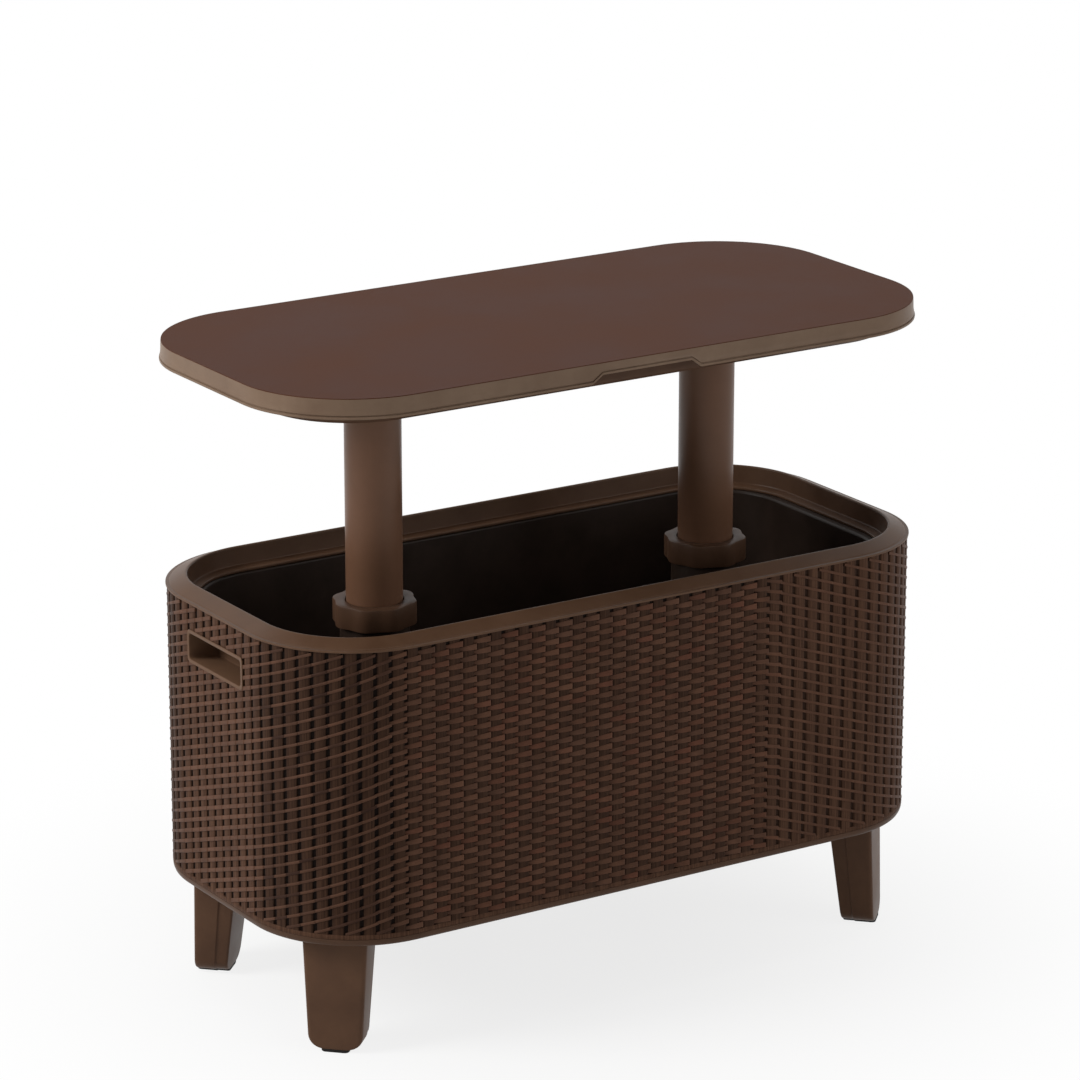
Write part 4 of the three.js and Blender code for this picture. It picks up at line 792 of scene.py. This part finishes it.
# the nut's six sides: corner * cos(30 degrees) / cos(a - the middle of the nearest side), and less than
# that at its chamfered corners
hexagon = NUT_CORNER * np.cos(np.pi / 6) / np.cos(np.mod(once_round(96), np.pi / 3) - np.pi / 6)
nut_profile = [
    (np.minimum(hexagon, 19.8), NUT_LOW_Z), (np.minimum(hexagon, 20.6), NUT_LOW_Z + 0.6),
    (hexagon, NUT_LOW_Z + 1.8), (hexagon, NUT_TOP_Z - 1.2), (np.minimum(hexagon, 20.4), NUT_TOP_Z),
    (PIPE_HOLE, NUT_TOP_Z), (PIPE_HOLE, NUT_LOW_Z)]
piece("drain_nut_moulding", skin(turned(nut_profile, steps=96), loop=True), smooth_brown, "tub",
      "smooth_brown", "drain_nut")
# the plug goes up its fluted grip, radius + flute * cos(flutes * a), and in to its stem
fluted = GRIP_RADIUS + FLUTE * np.cos(FLUTES * once_round(120))
plug_profile = [
    (POLE, PLUG_GRIP_Z), (11.0, PLUG_GRIP_Z), (13.6, PLUG_GRIP_Z + 0.5), (fluted - 1.2, PLUG_GRIP_Z + 1.5),
    (fluted, PLUG_GRIP_Z + 2.9), (fluted, PLUG_SEAT_Z - 1.7), (15.6, PLUG_SEAT_Z - 0.2), (14.5, PLUG_SEAT_Z),
    (10.5, PLUG_SEAT_Z), (10.5, PLUG_TIP_Z - 1.3), (9.6, PLUG_TIP_Z), (POLE, PLUG_TIP_Z)]
piece("drain_plug_moulding", skin(turned(plug_profile, steps=120)), smooth_brown, "drain_plug",
      "smooth_brown", "drain_plug")
finish_node("drain_seal", rubber)
finish_node("drain_plug_seal", rubber)

# Posts
# Two brown tubes that carry the lid: smooth extruded plastic, satin, closed by a web in the lid's
# sockets. A black cap round the foot stops each under its bush.
POST_RADIUS, POST_BORE, POST_WEB = 31.0, 28.0, 10.0
POST_TOP_Z, POST_FOOT_Z = 715.7, 389.9
CAP_LOW_Z, CAP_FLOOR_Z, CAP_TOP_Z = 386.6, 389.6, 411.0
# (radius, height): a post's outside, the inside that it closes on, and the cap with its own inside
post_outside = eased(
    [(POST_BORE, POST_FOOT_Z), (POST_RADIUS, POST_FOOT_Z), (POST_RADIUS, POST_TOP_Z), (POLE, POST_TOP_Z)],
    [0, 0.8, 1.2, 0])
post_inside = eased(
    [(POLE, POST_TOP_Z - POST_WEB), (POST_BORE, POST_TOP_Z - POST_WEB), (POST_BORE, POST_FOOT_Z)], 0)
post_rings = np.concatenate([turned(post_inside), turned(post_outside)[1:]])
cap_profile = eased(
    [(POLE, CAP_LOW_Z), (34.5, CAP_LOW_Z), (34.5, CAP_TOP_Z), (31.3, CAP_TOP_Z), (31.3, CAP_FLOOR_Z),
     (POLE, CAP_FLOOR_Z)], [0, 1.2, 0.8, 0, 0, 0])
# Extruded polypropylene: finer and glossier than the mouldings, with long, slow drifts of tone
post_brown = moulded("extruded_post_brown", ("#694b38", "#765541"), 0.36, gloss=0.22,
                     grain=0.8, relief=0.03, cloud=120.0)
for sign, side in SIDES:
    piece(f"post_tube_{side}", skin(post_rings + (sign * GUIDE_X, 0, 0)), post_brown, "lid",
          "smooth_brown", f"post_{side}")
    piece(f"post_foot_moulding_{side}", skin(turned(cap_profile, sign * GUIDE_X)), liner_black, "lid",
          "black_plastic", f"post_foot_{side}")

# Under-panel and gasket
# The lid's underside: a shallow brown moulding that drops into the tub's mouth as a plug, with a
# flange inside the skirt, two sockets for the posts, and a black gasket that closes on the rim.
PLUG_Z, PANEL_FLANGE_Z, PANEL_WALL = 696.6, 721.4, 2.5
SOCKET_BORE, SOCKET_RADIUS, SOCKET_END_Z, SOCKET_TOP_Z = 31.5, 34.5, 716.0, 719.0
GASKET_LOW_Z, GASKET_TOP_Z = 717.1, 721.1
# (inset, height), from the plug's underside out along the flange and back over the top of both
panel_profile = eased(
    [(31.5, PLUG_Z), (27.5, PLUG_Z + 4), (27.5, PANEL_FLANGE_Z), (6.0, PANEL_FLANGE_Z),
     (6.0, PANEL_FLANGE_Z + PANEL_WALL), (30, PANEL_FLANGE_Z + PANEL_WALL), (30, PLUG_Z + 4 + PANEL_WALL),
     (34, PLUG_Z + PANEL_WALL)],
    [0, 3, 1, 0.5, 0.5, 1, 3, 0],
)
under_panel = piece("under_panel_moulding", skin(carried(panel_profile)), smooth_brown, "lid",
                    "smooth_brown", "lid_under_panel")
# the sockets' mouths are cut through the plug's underside
carve(under_panel, [skin(turned([(SOCKET_BORE, 690), (SOCKET_BORE, 705)], sign * GUIDE_X))
                    for sign in (-1, 1)])
# (radius, height), from the socket's closed end down its bore and back up its outside
socket_profile = eased(
    [(POLE, SOCKET_END_Z), (SOCKET_BORE, SOCKET_END_Z), (SOCKET_BORE, PLUG_Z + PANEL_WALL),
     (SOCKET_RADIUS, PLUG_Z + PANEL_WALL), (SOCKET_RADIUS, SOCKET_TOP_Z), (POLE, SOCKET_TOP_Z)],
    [0, 0.5, 0, 0, 1, 0],
)
for sign, side in SIDES:
    piece(f"post_socket_moulding_{side}", skin(turned(socket_profile, sign * GUIDE_X)), smooth_brown,
          "lid", "smooth_brown")
gasket_profile = eased(
    [(19.5, GASKET_LOW_Z), (19.5, GASKET_TOP_Z), (26.5, GASKET_TOP_Z), (26.5, GASKET_LOW_Z)],
    [2, 0.5, 0.5, 2], loop=True,
)
piece("gasket_rubber", skin(carried(gasket_profile)[::-1], loop=True), rubber, "lid",
      "rubber", "lid_gasket")

# Lid top
# The table top: one brown moulding, screwed to the under-panel, with a fine leathery grain on top, a
# satin skirt with a thin bead along its lower edge, and a finger notch in the front's middle, which the
# bead follows.
SKIRT_Z, GROOVE_Z, PLATE_Z, LID_TOP_Z = 708.6, 712.4, 727.6, 730.6
# |x| of the notch's sloping ends, with a point 1 mm inside each of their corners, and its height
NOTCH_STOPS = (69.0, 68.0, 57.5, 56.5)
NOTCH_LIFT = 9.0
# (inset, height), from the plate's underside down inside the skirt, round the bead and its groove, and up
lid_profile = eased(
    [(6.0, PLATE_Z), (4.2, 716), (2.6, 712), (2.6, SKIRT_Z), (-1, SKIRT_Z), (-1, 711.0), (0.9, 711.4),
     (0.9, 712.2), (-0.2, 712.8), (0.6, 717.5), (1, 729.1), (1.3, LID_TOP_Z)],
    [0, 0, 0.4, 0.4, 0.6, 0.4, 0.2, 0.2, 0.3, 2, 1.2, 0],
)
# two rings more on the flat plate keep the shading of its edge off it
lid_profile = np.vstack([lid_profile, [(2.4, LID_TOP_Z, 0), (30, LID_TOP_Z, 0)]])
lid_rings = carried(lid_profile)
# the front lies after the third corner, and gets a point in each ring at each of the notch's stops
stops = np.r_[-np.array(NOTCH_STOPS), NOTCH_STOPS[::-1]]
at = 3 * (CORNER_STEPS + 1)
front = np.repeat(lid_rings[:, at - 1:at], len(stops), axis=1)
front[..., 0] = stops
lid_rings = np.concatenate([lid_rings[:, :at], front, lid_rings[:, at:]], axis=1)
# the notch lifts the lower edge by lift * (first stop - |x|) / (first stop - last stop), up to its full
# lift, on the front alone, and fades out between the groove and the plate
rise = np.clip((NOTCH_STOPS[0] - np.abs(lid_rings[..., 0])) / (NOTCH_STOPS[0] - NOTCH_STOPS[-1]), 0, 1)
rise = rise * (lid_rings[..., 1] < 0)
fade = np.clip((PLATE_Z - lid_rings[..., 2]) / (PLATE_Z - GROOVE_Z), 0, 1)
lid_rings[..., 2] += NOTCH_LIFT * rise * fade
# Polypropylene with a leathery grain: duller than the skirt, with a slow drift of tone
lid_brown = moulded("moulded_polypropylene_lid", ("#4b2c20", "#543527"), 0.46, gloss=0.02,
                    grain=1.3, relief=0.06, cloud=150.0)
# The same plastic on the skirt, polished in the tool, and painted paler than the top: a painted sheen
skirt_brown_painted_sheen = moulded("moulded_polypropylene_skirt_painted_sheen", ("#755f4e", "#816b59"), 0.4, gloss=0.12)
lid = piece("lid_top_moulding", skin(lid_rings), skirt_brown_painted_sheen, "lid", "top_brown", "lid_top", sharp=40)
lid.data.materials.append(lid_brown)
# the grain covers the plate and its rounded edge, the faces whose middles lie less than 0.8 mm down
centres = np.empty(len(lid.data.polygons) * 3)
lid.data.polygons.foreach_get("center", centres)
lid.data.polygons.foreach_set("material_index", (centres[2::3] > (LID_TOP_Z - 0.8) * MM).astype(np.int32))
